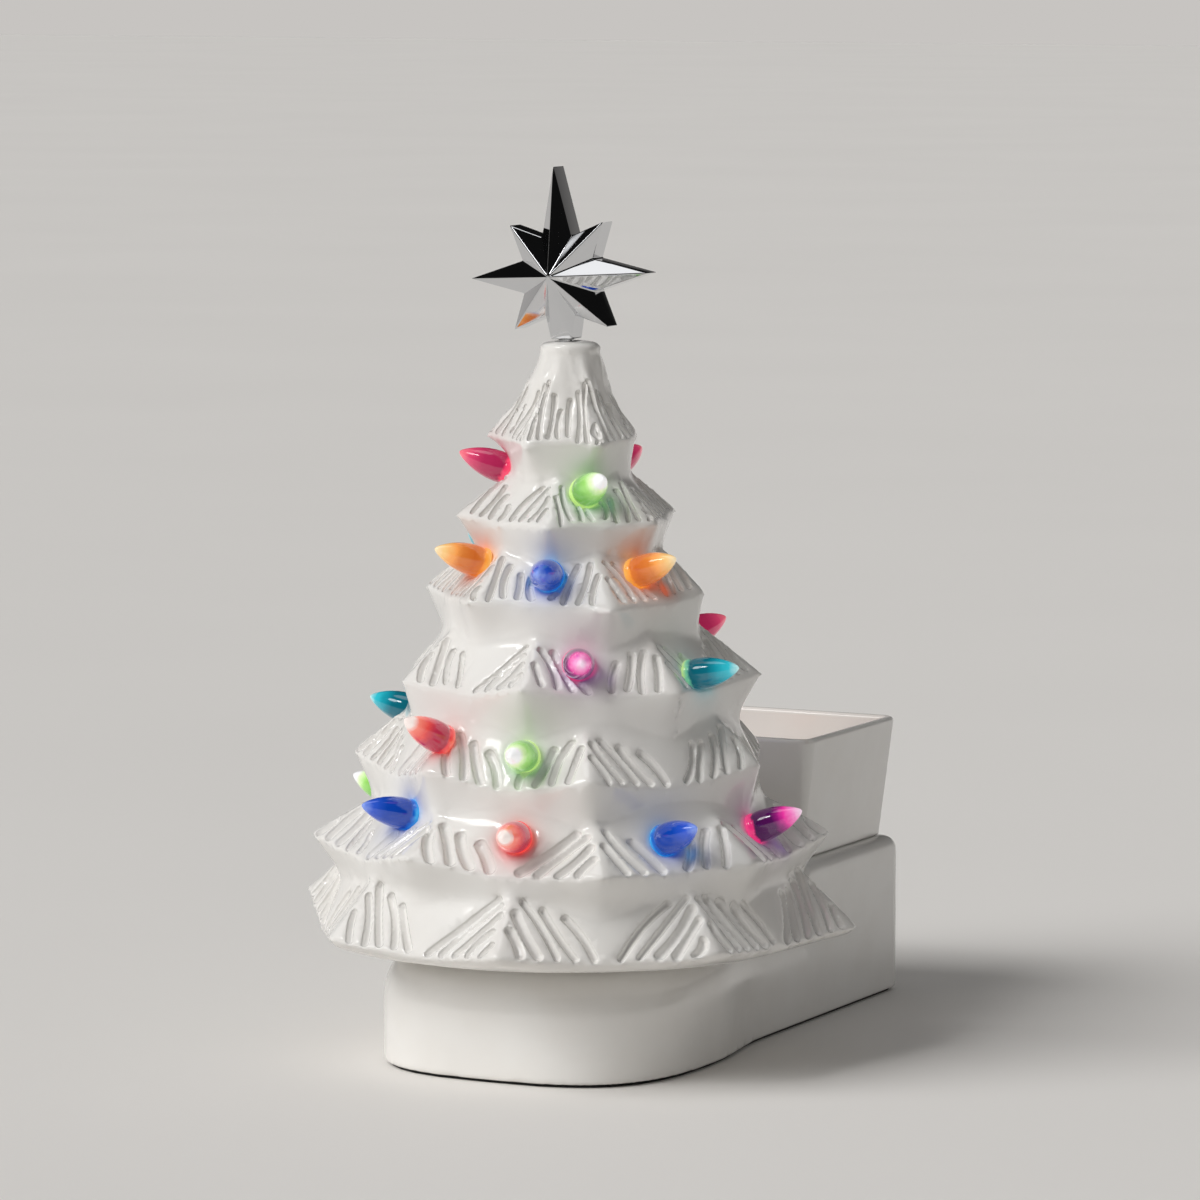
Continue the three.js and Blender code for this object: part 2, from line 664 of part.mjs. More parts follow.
function bulbShape() {
  return turned([
    [0, -bulbPeg], [bulbPegRadius, -bulbPeg], [bulbPegRadius, 0], [bulbRadius, 0], [bulbRadius, bulbRing],
    ...bulbFlame.map(([radius, length]) => [bulbRadius * radius, bulbLength * length]), [0, bulbLength],
  ], bulbSides);
}

function addTree() {
  const outside = makeTreeOutside();
  const seats = bulbSeats(outside);
  addNode('tree_shell', geometryOf(makeTreeShell(outside, seats)), materials.glaze);
  seats.forEach((seat, i) => {
    const colour = bulbs[i][0];
    const color = glassColours[colour];
    const glass = new THREE.MeshStandardMaterial({ color, roughness: 0.12, metalness: 0 });
    const node = addNode(`bulb_${String(i + 1).padStart(2, '0')}_${colour}`, bulbShape(), glass);
    node.applyMatrix4(seat);
  });
}

function starPlace() {
  const lean = new THREE.Matrix4().makeRotationY(-THREE.MathUtils.degToRad(starLean));
  return lean.setPosition(-starOffset, 0, treeTop + slideGap);
}

// Star outline seen from the front: eight rays round its centre, the lowest cut off as the stem
function starOutline() {
  const reaches = [starTop, starDiagonal, starSide, starDiagonal, 0, starDiagonal, starSide, starDiagonal];
  return reaches.flatMap((reach, ray) => {
    const angle = (ray * Math.PI) / 4;
    const valley = angle + Math.PI / 8;
    const tip = reach > 0
      ? [new THREE.Vector2(reach * Math.sin(angle), reach * Math.cos(angle))]
      : [new THREE.Vector2(stemHalfWidth, -starHeight), new THREE.Vector2(-stemHalfWidth, -starHeight)];
    return [...tip, new THREE.Vector2(starValley * Math.sin(valley), starValley * Math.cos(valley))];
  });
}

// Star with a straight rim band and a raised centre on both faces, standing on its stem
function starShape() {
  const outline = starOutline();
  const count = outline.length;
  const positions = [];
  for (const y of [-starBand / 2, starBand / 2]) {
    for (const point of outline) positions.push(point.x, y, point.y + starHeight);
  }
  for (const y of [-starBand / 2 - starRidge, starBand / 2 + starRidge]) positions.push(0, y, starHeight);
  const index = [];
  for (let i = 0; i < count; i += 1) {
    const next = (i + 1) % count;
    index.push(2 * count, next, i, 2 * count + 1, count + i, count + next);
    index.push(i, next, count + next, i, count + next, count + i);
  }
  const geometry = new THREE.BufferGeometry();
  geometry.setAttribute('position', new THREE.Float32BufferAttribute(positions, 3));
  geometry.setIndex(index);
  return geometry;
}

function addStar() {
  const peg = cylinder(starPegRadius, -starPeg, starBand, 0, 0, smallSides);
  const node = addNode('star_topper', geometryOf(solid(starShape()).add(solid(peg))), materials.chrome);
  node.applyMatrix4(starPlace());
}

// Lamp holder through the deck, with the lamp's cap in its cup
function addLamp() {
  const cupTopHeight = deckHeight + holderFlange + holderCupHeight;
  const cupFloor = cupTopHeight - capLength;
  const cupBore = capRadius + seatGap;
  addNode('lamp_holder', turned([
    [0, deckHeight - holderDepth], [holderRadius, deckHeight - holderDepth], [holderRadius, deckHeight],
    [holderFlangeRadius, deckHeight], [holderFlangeRadius, deckHeight + holderFlange],
    [holderCupRadius, deckHeight + holderFlange], [holderCupRadius, cupTopHeight],
    [cupBore, cupTopHeight], [cupBore, cupFloor], [0, cupFloor],
  ], middleSides), materials.whitePlastic);
  const clipInner = holderRadius + seatGap;
  const clipTop = deckUnderside - seatGap;
  addNode('holder_clip', turned([
    [clipInner, clipTop - clipThickness], [holderFlangeRadius, clipTop - clipThickness],
    [holderFlangeRadius, clipTop], [clipInner, clipTop], [clipInner, clipTop - clipThickness],
  ], middleSides), materials.steel);
  const capBottom = cupFloor + seatGap;
  const capTop = capBottom + capLength + overrun;
  addNode('lamp_cap', turned([
    [0, capBottom], [capRadius / 2, capBottom], [capRadius, capBottom + capTaper], [capRadius, capTop],
    [0, capTop],
  ], smallSides), materials.brass);
  addNode('lamp_glass', turned([
    [0, capTop], [capRadius, capTop], [capRadius, capTop + lampNeck],
    ...lampOutline.map(([radius, length]) => [lampRadius * radius, capTop + lampLength * length]),
    [0, capTop + lampLength],
  ], smallSides), materials.lampGlass);
}

// Warming plate in the block's top, with its heater held up by a cup screwed to the plate
function makePlate() {
  let plate = solid(turned([
    [0, blockCeiling], [plateBossRadius, blockCeiling], [plateBossRadius, blockHeight - plateFlange],
    [plateRadius, blockHeight - plateFlange], [plateRadius, blockHeight], [0, blockHeight],
  ], largeSides));
  for (const [x, y] of cupScrewSpots) {
    const hole = cylinder(cupScrewRadius + seatGap, 0, blockHeight - plateFlange, x, y, tinySides);
    plate = plate.subtract(solid(hole));
  }
  return geometryOf(plate.translate([dishX, dishY, 0]));
}

function makeCup() {
  const inner = heaterRadius + slideGap;
  let cup = solid(turned([
    [0, cupBottom], [inner + cupWall, cupBottom], [inner + cupWall, cupTop - cupWall],
    [cupFlangeRadius, cupTop - cupWall], [cupFlangeRadius, cupTop], [inner, cupTop], [inner, cupFloorTop],
    [0, cupFloorTop],
  ], largeSides));
  for (const [x, y] of cupScrewSpots) {
    cup = cup.subtract(solid(cylinder(cupScrewRadius + seatGap, 0, blockHeight, x, y, tinySides)));
  }
  return geometryOf(cup.translate([dishX, dishY, 0]));
}

function addWarmer() {
  addNode('warming_plate', makePlate(), materials.aluminium);
  addNode('heater_cup', makeCup(), materials.steel);
  const heater = cylinder(heaterRadius, insulatorTop + seatGap, heaterTop, dishX, dishY, largeSides);
  addNode('heater_disc', heater, materials.mica);
  const insulator = cylinder(heaterRadius, cupFloorTop, insulatorTop, dishX, dishY, largeSides);
  addNode('insulator_disc', insulator, materials.whitePlastic);
  cupScrewSpots.forEach(([x, y], i) => {
    const length = blockHeight - plateFlange - cupTop + cupWall;
    const screw = screwShape(cupScrewHead, cupScrewHeadHeight, cupScrewRadius, length);
    const node = addNode(`heater_screw_${i + 1}`, screw, materials.steel);
    node.position.set(dishX + x, dishY + y, cupTop - cupWall - seatGap);
  });
  const fuse = new THREE.CylinderGeometry(fuseRadius, fuseRadius, fuseLength, tinySides).rotateZ(Math.PI / 2);
  const node = addNode('thermal_fuse', fuse, materials.steel);
  node.position.set(dishX, dishY, cupBottom - seatGap - fuseRadius);
}

function dishRing(height, grow) {
  const share = (height - blockHeight) / dishHeight;
  const halfX = rimHalfWidth - dishTaper * (1 - share) + grow;
  const halfY = (rimRear - rimFront) / 2 - dishTaper * (1 - share) + grow;
  const corner = Math.max(dishCorner + grow, tightCorner);
  const points = [];
  for (let quarter = 0; quarter < 4; quarter += 1) {
    for (let step = 0; step <= 4; step += 1) {
      const angle = (quarter + step / 4) * (Math.PI / 2);
      const towardsX = quarter === 0 || quarter === 3 ? 1 : -1;
      const towardsY = quarter < 2 ? 1 : -1;
      points.push(new THREE.Vector3(
        dishX + towardsX * (halfX - corner) + corner * Math.cos(angle),
        dishY + towardsY * (halfY - corner) + corner * Math.sin(angle),
        height,
      ));
    }
  }
  return points;
}

// Dish as one closed skin: up the outside, over the rim and down to the floor inside
function addDish() {
  const rim = blockHeight + dishHeight;
  const floor = blockHeight + dishFloor;
  addNode('wax_dish', loft([
    dishRing(blockHeight, -dishEdge), dishRing(blockHeight + dishEdge, 0), dishRing(rim - dishEdge, 0),
    dishRing(rim, -dishEdge), dishRing(rim, dishEdge - dishWall), dishRing(rim - dishEdge, -dishWall),
    dishRing(floor + dishBend, -dishWall), dishRing(floor + 0.3 * dishBend, -dishWall - 0.3 * dishBend),
    dishRing(floor, -dishWall - dishBend),
  ]), materials.glaze);
}

// Rocker switch clipped into the rear wall
function addSwitch() {
  const face = baseRear + seatGap;
  const pocketHalfWidth = switchHalfWidth - switchRim;
  const pocketHalfHeight = switchHalfHeight - switchRim;
  const bezelHalfWidth = switchHalfWidth + switchBezel;
  const bezelHalfHeight = switchHalfHeight + switchBezel;
  let body = solid(box(
    switchX - switchHalfWidth, switchX + switchHalfWidth, baseRear - switchDepth, face,
    switchHeight - switchHalfHeight, switchHeight + switchHalfHeight,
  ));
  body = body.add(solid(box(
    switchX - bezelHalfWidth, switchX + bezelHalfWidth, face, face + switchFlange,
    switchHeight - bezelHalfHeight, switchHeight + bezelHalfHeight,
  )));
  body = body.subtract(solid(box(
    switchX - pocketHalfWidth, switchX + pocketHalfWidth,
    baseRear - switchDepth + switchBack, face + switchFlange + overrun,
    switchHeight - pocketHalfHeight, switchHeight + pocketHalfHeight,
  )));
  addNode('switch_body', geometryOf(body), materials.blackPlastic);

  const faceReach = rockerPivotDepth + rockerFace;
  const profile = new THREE.Shape([
    new THREE.Vector2(-rockerBack, -rockerBackHalfHeight), new THREE.Vector2(faceReach, -rockerHalfHeight),
    new THREE.Vector2(rockerPivotDepth + rockerFace / 2, 0), new THREE.Vector2(faceReach, rockerHalfHeight),
    new THREE.Vector2(-rockerBack, rockerBackHalfHeight),
  ]);
  const rocker = new THREE.ExtrudeGeometry(profile, { depth: 2 * rockerHalfWidth, bevelEnabled: false });
  rocker.translate(0, 0, -rockerHalfWidth).applyMatrix4(new THREE.Matrix4().makeBasis(
    new THREE.Vector3(0, 1, 0), new THREE.Vector3(0, 0, 1), new THREE.Vector3(1, 0, 0),
  ));
  const node = addNode('switch_rocker', rocker, materials.blackPlastic);
  node.rotation.x = THREE.MathUtils.degToRad(rockerTilt);
  node.position.set(switchX, face + switchFlange - rockerPivotDepth, switchHeight);
}

// Bush in the rear wall that a supply lead would pass through, held by a nut inside
function addCordEntry() {
  const bush = new THREE.LatheGeometry([
    [entryBore, rearInside - entryThread], [entryRadius, rearInside - entryThread], [entryRadius, baseRear],
    [entryFlangeRadius, baseRear], [entryFlangeRadius, baseRear + entryFlange],
    [entryBore, baseRear + entryFlange], [entryBore, rearInside - entryThread],
  ].map(([radius, y]) => new THREE.Vector2(radius, y)), smallSides);
  addNode('cord_bush', bush.translate(entryX, 0, entryHeight), materials.blackPlastic);
  const nutRear = rearInside - seatGap;
  let nut = solid(rearCylinder(nutRadius, nutRear - nutThickness, nutRear, entryX, entryHeight, 6));
  const bore = rearCylinder(entryRadius + seatGap, 0, baseRear, entryX, entryHeight, smallSides);
  nut = nut.subtract(solid(bore));
  addNode('bush_nut', geometryOf(nut), materials.blackPlastic);
}

// Terminal block on the cover, and the leads that join it to what it feeds
function lead(points) {
  const section = new THREE.Shape();
  section.absarc(0, 0, leadRadius, 0, 2 * Math.PI);
  const path = new THREE.CatmullRomCurve3(points.map((point) => new THREE.Vector3(...point)));
  return new THREE.ExtrudeGeometry(section, {
    steps: 12, curveSegments: 4, bevelEnabled: false, extrudePath: path,
  });
}

function addWiring() {
  const [width, depth, height] = terminalSize;
  const terminal = box(
    -width / 2, width / 2, terminalY - depth / 2, terminalY + depth / 2, coverTop, coverTop + height,
  );
  addNode('terminal_block', terminal, materials.whitePlastic);
  const front = terminalY - depth / 2 - seatGap;
  const rear = terminalY + depth / 2 + seatGap;
  const holderBottom = deckHeight - holderDepth - seatGap;
  addNode('lamp_lead', lead([
    [0, 0, holderBottom], [0, 0, holderBottom - 2.5], [0, leadBend, wireDeck - 2],
    [0, front - leadBend, wireDeck],
    [0, front, wireDeck],
  ]), materials.whitePlastic);
  const fuseBottom = cupBottom - 2 * fuseRadius - 2 * seatGap;
  addNode('heater_lead', lead([
    [0, rear, wireDeck], [0, rear + leadBend, wireDeck], [0, dishY - leadBend, wireDeck + 4],
    [0, dishY, fuseBottom - 6], [0, dishY, fuseBottom],
  ]), materials.whitePlastic);
  const switchRear = baseRear - switchDepth - seatGap;
  addNode('switch_lead', lead([
    [width / 4, rear, wireDeck], [width / 4, rear + leadBend, wireDeck],
    [switchX, switchRear - 3 * leadBend, switchHeight - leadBend],
    [switchX, switchRear - leadBend, switchHeight],
    [switchX, switchRear, switchHeight],
  ]), materials.whitePlastic);
}

addUnderside();
addTree();
addStar();
addLamp();
addWarmer();
addDish();
addSwitch();
addCordEntry();
addWiring();

export default part;
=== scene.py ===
import math

import bpy
import numpy as np
from mathutils import Matrix, Vector


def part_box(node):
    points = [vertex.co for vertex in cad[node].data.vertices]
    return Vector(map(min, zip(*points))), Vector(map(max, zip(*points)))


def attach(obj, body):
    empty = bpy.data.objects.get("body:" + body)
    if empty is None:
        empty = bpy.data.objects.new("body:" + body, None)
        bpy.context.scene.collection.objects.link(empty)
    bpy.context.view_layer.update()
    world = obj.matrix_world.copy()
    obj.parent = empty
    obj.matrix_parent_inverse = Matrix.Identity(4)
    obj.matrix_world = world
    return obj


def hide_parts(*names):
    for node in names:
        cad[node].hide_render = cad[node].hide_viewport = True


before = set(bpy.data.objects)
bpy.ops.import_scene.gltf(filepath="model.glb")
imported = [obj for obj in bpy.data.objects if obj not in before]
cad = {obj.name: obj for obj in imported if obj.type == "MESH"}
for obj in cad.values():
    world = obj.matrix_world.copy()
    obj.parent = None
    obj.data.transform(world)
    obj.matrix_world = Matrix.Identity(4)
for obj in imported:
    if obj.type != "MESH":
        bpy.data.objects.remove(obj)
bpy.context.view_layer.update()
MM = 0.001

# The camera: distance from the tree's axis and height, azimuth, turn and dip in degrees, lens and sensor in
# millimetres, and how far it sees in metres
CAMERA_DISTANCE = 1874 * MM
CAMERA_HEIGHT = 352.1 * MM
CAMERA_AZIMUTH = 26.88
CAMERA_TURN = 0.283
CAMERA_DIP = 6.37
CAMERA_LENS = 181.4
CAMERA_SENSOR = 36
CAMERA_REACH = 40

# The studio: even light from all round, a broad key that lights without being mirrored, and a small lamp
# that gives crisp glints. Mirrors and glaze see a dark room with a softbox and a window. Angles are in
# degrees. The backdrop fades out between two cosines: above the horizon, and to the sides
AMBIENT = 0.24
BACKDROP = "#c7c4c1"
BACKDROP_FADE = (-0.26, -0.04)
BACKDROP_SIDES = (0.2, 0.6)
DARK_ROOM = "#121212"
KEY_AZIMUTH = CAMERA_AZIMUTH - 66
KEY_HEIGHT = 38
KEY_SPREAD = 45
KEY_STRENGTH = 2.4
LAMP_AZIMUTH = CAMERA_AZIMUTH - 48
LAMP_HEIGHT = 46
LAMP_SPREAD = 8
LAMP_STRENGTH = 0.22
SOFTBOX_AZIMUTH = CAMERA_AZIMUTH - 90
SOFTBOX_HEIGHT = 80
SOFTBOX_SPREAD = 14
SOFTBOX_STRENGTH = 1.2
WINDOW_AZIMUTH = CAMERA_AZIMUTH - 62
WINDOW_HEIGHT = 42
WINDOW_SPREAD = 8
WINDOW_STRENGTH = 5

# The base: plan of its low front and of its block, its heights, and its mesh's voxel and smoothing
BASE_HALF_WIDTH = 51.3 * MM
BASE_FRONT = 58.5 * MM
BASE_REAR = 152 * MM
WAIST_HALF_WIDTH = 46.5 * MM
WAIST_END = 45 * MM
FRONT_FULLNESS = 3
REAR_CORNER = 5.8 * MM
BASE_WALL = 5 * MM
SIDE_HEIGHT = 20 * MM
SHOULDER_INSET = 9 * MM
DECK_HEIGHT = 35 * MM
BLOCK_FRONT = 77 * MM
BLOCK_HEIGHT = 52 * MM
BLOCK_EDGE = 4.5 * MM
PAD_THICKNESS = 0.9 * MM
BASE_VOXEL = 1.25 * MM
SOFTEN_BASE = 4

# What is set into the base: the collar that the tree stands round, the holes for the lamp, the heater, the
# switch and the cord, and the recess for the warming plate. Cutters reach past the top and through the rear
# wall
COLLAR_RADIUS = 36 * MM
COLLAR_BORE = 32.5 * MM
COLLAR_FOOT = 30 * MM
COLLAR_TOP = 38 * MM
LAMP_HOLE = 12 * MM
PLATE_RECESS = 30.3 * MM
PLATE_RECESS_FLOOR = 50 * MM
HEATER_HOLE = 27.5 * MM
SWITCH_MARGIN = 1.2 * MM
CORD_HOLE = 4.3 * MM
CORD_X = -22 * MM
CORD_HEIGHT = 16 * MM
CUTTER_TOP = 60 * MM
CUTTER_REACH = 10 * MM

# The dish
RIM_HALF_WIDTH = 46 * MM
RIM_FRONT = 79 * MM
RIM_REAR = 150.5 * MM
DISH_Y = (RIM_FRONT + RIM_REAR) / 2
DISH_HALF_Y = (RIM_REAR - RIM_FRONT) / 2
DISH_HEIGHT = 39.8 * MM
DISH_TAPER = 4.8 * MM
DISH_WALL = 3.4 * MM
DISH_FLOOR = 4.5 * MM
DISH_CORNER = 5.6 * MM
DISH_LEAST_CORNER = 1.2 * MM
DISH_FOOT_EDGE = 1 * MM
DISH_RIM_EDGE = 1.5 * MM
DISH_FLOOR_BEND = 5 * MM
# Warm light that its inside shows: linear colour, and how far in from its outer face and over its foot it
# starts
WARM_LIGHT = (0.34, 0.25, 0.21)
WARM_SINK = 1.6 * MM
WARM_FOOT = 3 * MM

# The tree's tiers: height and radius where the branches spring, height and radius where the skirt between
# them ends, spacing of the grooves, and each branch as azimuth, reach and height of its tip, and how far
# the grooves of its two slopes lean from the ridge, at 0, to the outer edge, at 1; millimetres and degrees
TIERS = [
    (216, 10.9, 192.5, 21, 3,
     [(-71, 27, 194, 0.5, 0.4), (-9, 25, 191.5, 0.7, 0.3), (50, 25, 191.5, 0.4, 0.3),
      (140, 23.5, 193, 0.5, 0.5), (215, 25, 193, 0.4, 0.6)]),
    (183.5, 19.5, 168, 31.5, 3.4,
     [(-49, 38, 170.5, 0.5, 0.3), (15, 37, 168.5, 0.75, 0.45), (75, 37, 168.5, 0.3, 0.6),
      (135, 36, 170, 0.5, 0.4), (195, 36, 170, 0.4, 0.6), (255, 37, 170, 0.6, 0.4)]),
    (161, 29, 144.5, 41, 4.2,
     [(-77, 48, 146, 0.5, 0.15), (-17, 47, 145.5, 0.4, 0.3), (43, 47.5, 144.5, 0.45, 0.5),
      (103, 44, 146, 0.4, 0.5), (163, 46, 146, 0.6, 0.3), (223, 47, 146, 0.3, 0.5)]),
    (135.5, 41, 117, 51.5, 4.3,
     [(-39, 58, 120, 0.4, 0.5), (12, 58.5, 121.5, 0.85, 0.5), (63, 58.5, 119, 0.4, 0.5),
      (115, 61, 120, 0.4, 0.6), (167, 58, 120, 0.5, 0.3), (218, 58, 120, 0.3, 0.6),
      (270, 57, 119, 0.5, 0.4)]),
    (109, 52.5, 90, 60, 4.8,
     [(-65, 69, 95, 0.5, 0.15), (-16, 67, 95.5, 0.5, 0.4), (32, 68.5, 94.3, 0.35, 0.5),
      (89, 67, 95, 0.4, 0.2), (140, 66, 95, 0.5, 0.4), (192, 64, 95, 0.3, 0.6), (244, 67, 95, 0.4, 0.5)]),
    (82, 62.5, 66, 73.5, 6,
     [(-58, 82, 70.5, 0.5, 0.2), (-13, 80.5, 71, 0.4, 0.45), (34, 81.5, 67.5, 0.85, 0.6),
      (72, 80, 68, 0.45, 0.4), (113, 82.5, 70.5, 0.3, 0.4), (157, 74, 69, 0.6, 0.4),
      (207, 74, 69, 0.4, 0.6), (255, 80, 69, 0.5, 0.3)]),
    (62, 71, 40.5, 79, 5.2,
     [(-73, 85.5, 50, 0.3, 0.3), (-31, 88.5, 43, 0.4, 0.5), (12, 88.5, 43.5, 0.9, 0.5),
      (58, 88, 43, 0.8, 0.4), (107, 92, 42, 0.5, 0.4), (151, 78, 44, 0.4, 0.6),
      (199, 76, 44, 0.6, 0.3), (243, 84, 46, 0.4, 0.5)]),
]
# How deep a branch's foot sinks in the skirt, the skirt's sides in the solid, the dip and lip of its
# profile, and how near the solid's skirt a point is rounded fully, and how near at all
BRANCH_SINK = 0.8
SKIRT_STEPS = 30
SKIRT_DIP = 1.5
HEM_LIP = 2.6
ROUNDED_NEAR = (0.6 * MM, 1.8 * MM)
# The tree's inner face, all in millimetres: heights and radius of its upright foot, how far it lies inside
# the tiers' radii, its top, and the flat at the rear
INNER_FOOT = (30, 38)
INNER_FOOT_RADIUS = 38.7
INNER_SINK = 3.8
INNER_TOP = 217.5
REAR_FLAT = 71.5

# The grooves in the slopes: their width as a share of their spacing, their depth in the solid and their
# least length there as a share of their spacing, how far they keep from the slope's edges, how nearly those
# of a slope are parallel, and the height of the valley that two slopes share, from its foot at 0 to the
# height at which the branches spring, at 1
GROOVE_SHARE = 0.5
GROOVE_DEPTH = 1.3 * MM
SHORTEST_GROOVE = 0.75
GROOVE_MARGIN = 1.4 * MM
PARALLEL_SHARE = 0.65
VALLEY_SHARE = 0.55
# How far the bars that fill the solid's grooves reach past their sides, their ends and their floor
BAR_SIDE = 0.2 * MM
BAR_END = 0.3 * MM
BAR_SINK = 0.6 * MM

# The strokes that stand for the grooves here: depth, and its share at heights in millimetres; least and
# further width as shares of a groove's; how far they bend; where their wall starts and ends, as shares of
# the half width; how far from its slope's plane and its ends a point may lie, and how nearly it faces the
# slope's way; and the least length as a share of the spacing. Those that lie close together, on the small
# branches, stop further from the hem than the broad ones do
STROKE_DEPTH = 1.6 * MM
STROKE_SHARE = [(40, 1), (150, 1), (180, 0.9), (200, 0.7)]
STROKE_LEAST_WIDTH = 0.8
STROKE_MORE_WIDTH = 0.45
STROKE_BEND = 2.4 * MM
STROKE_END = 0.7
STROKE_WALL = (0.15, 1.3)
SLOPE_REACH = 4.5 * MM
END_REACH = 6 * MM
LEAST_FACING = 0.5
SHORTEST_STROKE = 1.1
FINE_SPACING = 4.5 * MM
FINE_HEM_SHARE = 1.2
BROAD_HEM_SHARE = 0.6
# Distances from a stroke, in its half widths: the one taken where none is near, and the most that is kept
NO_STROKE = 9.0
MOST_KEPT = 3

# The tree's mesh: its voxel, the shares of faces kept inside and out, how near a stroke it is refined, and
# the height over which it is refined twice; then how often it is smoothed all over, clear of the strokes,
# on its undersides and up the neck, how far from a stroke that is, and how little an underside faces up
TREE_VOXEL = 1.5 * MM
INSIDE_FACES = 0.12
OUTSIDE_FACES = 0.6
REFINED_NEAR = 1.5
FINE_HEIGHT = 140 * MM
SOFTEN_ALL = 4
SOFTEN_CLEAR = 6
SOFTEN_UNDERSIDE = 24
SOFTEN_NECK = 60
CLEAR_OF_STROKE = 1.7
NECK_CLEAR_OF_STROKE = 1.2
UNDERSIDE_UP = 0.12

# The neck: between which heights it is smoothed, its least outer radius, and how far the glazed neck
# stands out from the smoothed one at each height, both in mm. Its folds: how high they stand, each wave's
# share, count and phase, how far the waves wander, and the heights in mm over which they rise and fall away
NECK_FOOT = 200 * MM
NECK_TOP = 222 * MM
NECK_LEAST_RADIUS = 6 * MM
NECK_FULLNESS = [(192, 0), (194, 0.5), (197.5, 0), (201, -0.5), (205, -0.7), (207.5, -0.4), (210, 0.2),
                 (212.5, 0.85), (215, 1.0), (217.5, 0.8), (219.5, 0.3), (221, 0)]
FOLD_HEIGHT = 0.75 * MM
FOLDS = [(0.55, 7, 0.7), (0.3, 11, 2.1), (0.25, 17, 4)]
FOLD_WANDER = 0.16
FOLD_RISE = (194, 203)
FOLD_FALL = (216.5, 222)

# A bulb: length above its seat, and its outline from the peg up as radius and height; millimetres
BULB_LENGTH = 17.5
BULB_OUTLINE = [
    (0, -6.5), (1.9, -6.5), (1.9, 0), (4.5, 0), (4.9, 0.25), (5.0, 0.7), (4.98, 1.5), (4.75, 1.95),
    (4.68, 2.3), (4.82, 2.8), (4.9, 3.8), (4.9, 5.0), (4.75, 6.8), (4.42, 8.8), (3.9, 10.8), (3.22, 12.7),
    (2.42, 14.4), (1.6, 15.9), (0.95, 16.8), (0.45, 17.3), (0, 17.5),
]

# Colours along a lit bulb, from its seat at 0 to its tip at 1
GLASS = {
    "pink": [(0.02, "#ff5274"), (0.12, "#f04068"), (0.17, "#a82450"), (0.5, "#b42c58"), (0.75, "#dc4670"),
             (1.0, "#ff8490")],
    "green": [(0.02, "#dcf8a0"), (0.12, "#c4ee88"), (0.17, "#76b050"), (0.42, "#7cc058"), (0.62, "#a4e274"),
              (0.76, "#e4ffc0"), (0.85, "#ffffff")],
    "orange": [(0.02, "#ffc060"), (0.12, "#ffa040"), (0.17, "#e07a30"), (0.32, "#d46c2c"), (0.55, "#e0803a"),
               (0.68, "#ffa858"), (0.86, "#ffd08a"), (1.0, "#ffe8be")],
    "blue": [(0.02, "#38b4f0"), (0.1, "#1f6cd0"), (0.17, "#0c3c9e"), (0.6, "#0c42ac"), (0.84, "#2f58cc"),
             (1.0, "#86a2f0")],
    "magenta": [(0.02, "#ff5090"), (0.11, "#f03080"), (0.15, "#46104a"), (0.5, "#521254"), (0.62, "#a0207e"),
                (0.72, "#f03aa4"), (0.86, "#ff90d0"), (1.0, "#ffe0f4")],
    "teal": [(0.02, "#c8ec90"), (0.1, "#70c4a0"), (0.16, "#0c5c6c"), (0.48, "#0c6a7c"), (0.64, "#1894a6"),
             (0.84, "#36c0d0"), (1.0, "#ccf6f6")],
    "red": [(0.02, "#ff7464"), (0.12, "#f84c50"), (0.17, "#b02844"), (0.45, "#c23450"), (0.62, "#f05450"),
            (0.78, "#ff8c7a"), (0.88, "#fff0ea")],
}
# Light that the bulbs throw on the glaze beside them: its middle over the seat, radius, fade and strength
GLOW_RISE = 5 * MM
GLOW_RADIUS = 6 * MM
GLOW_FADE = 3.6 * MM
GLOW_STRENGTH = 0.8
SPILL = {"pink": "#ff4a6a", "green": "#7fd49a", "orange": "#ff7a40", "blue": "#1f70e8", "magenta": "#c060d0",
         "teal": "#30c0d0", "red": "#ff5a50"}
# Spots of light that the key casts through the bulbs on the glaze behind them: where from, how far and how
# wide
CAST_RISE = 3 * MM
CAST_REACH = 10 * MM
CAST_RADIUS = 3.2 * MM
CAST = {"pink": "#e8506c", "green": "#58b898", "orange": "#f06a3c", "blue": "#18a0d8", "magenta": "#a878e0",
        "teal": "#30c0c8", "red": "#f0708c"}

# Points nearer than this are merged
MERGE_DISTANCE = 0.01 * MM


def deselect():
    bpy.ops.object.select_all(action="DESELECT")


def pick(piece):
    deselect()
    piece.select_set(True)
    bpy.context.view_layer.objects.active = piece


def edit(piece, mode):
    pick(piece)
    bpy.ops.object.mode_set(mode="EDIT")
    bpy.ops.mesh.select_mode(type=mode)
    bpy.ops.mesh.select_all(action="DESELECT")
    bpy.ops.object.mode_set(mode="OBJECT")


def linear(colour):
    """sRGB hex as a linear colour with alpha"""
    parts = [int(colour[i:i + 2], 16) / 255 for i in (1, 3, 5)]
    return tuple(c / 12.92 if c <= 0.04045 else ((c + 0.055) / 1.055) ** 2.4 for c in parts) + (1,)


def add(tree, kind, values=None, links=None, stops=None, **settings):
    """Adds a shader node with its own settings, its inputs' values, their links and a ramp's stops"""
    node = tree.nodes.new(kind)
    for name, value in settings.items():
        setattr(node, name, value)
    for name, value in (values or {}).items():
        node.inputs[name].default_value = value
    for name, source in (links or {}).items():
        tree.links.new(source, node.inputs[name])
    if stops:
        elements = node.color_ramp.elements
        while len(elements) < len(stops):
            elements.new(0.5)
        for element, (place, colour) in zip(elements, stops):
            element.position = place
            element.color = colour
    return node


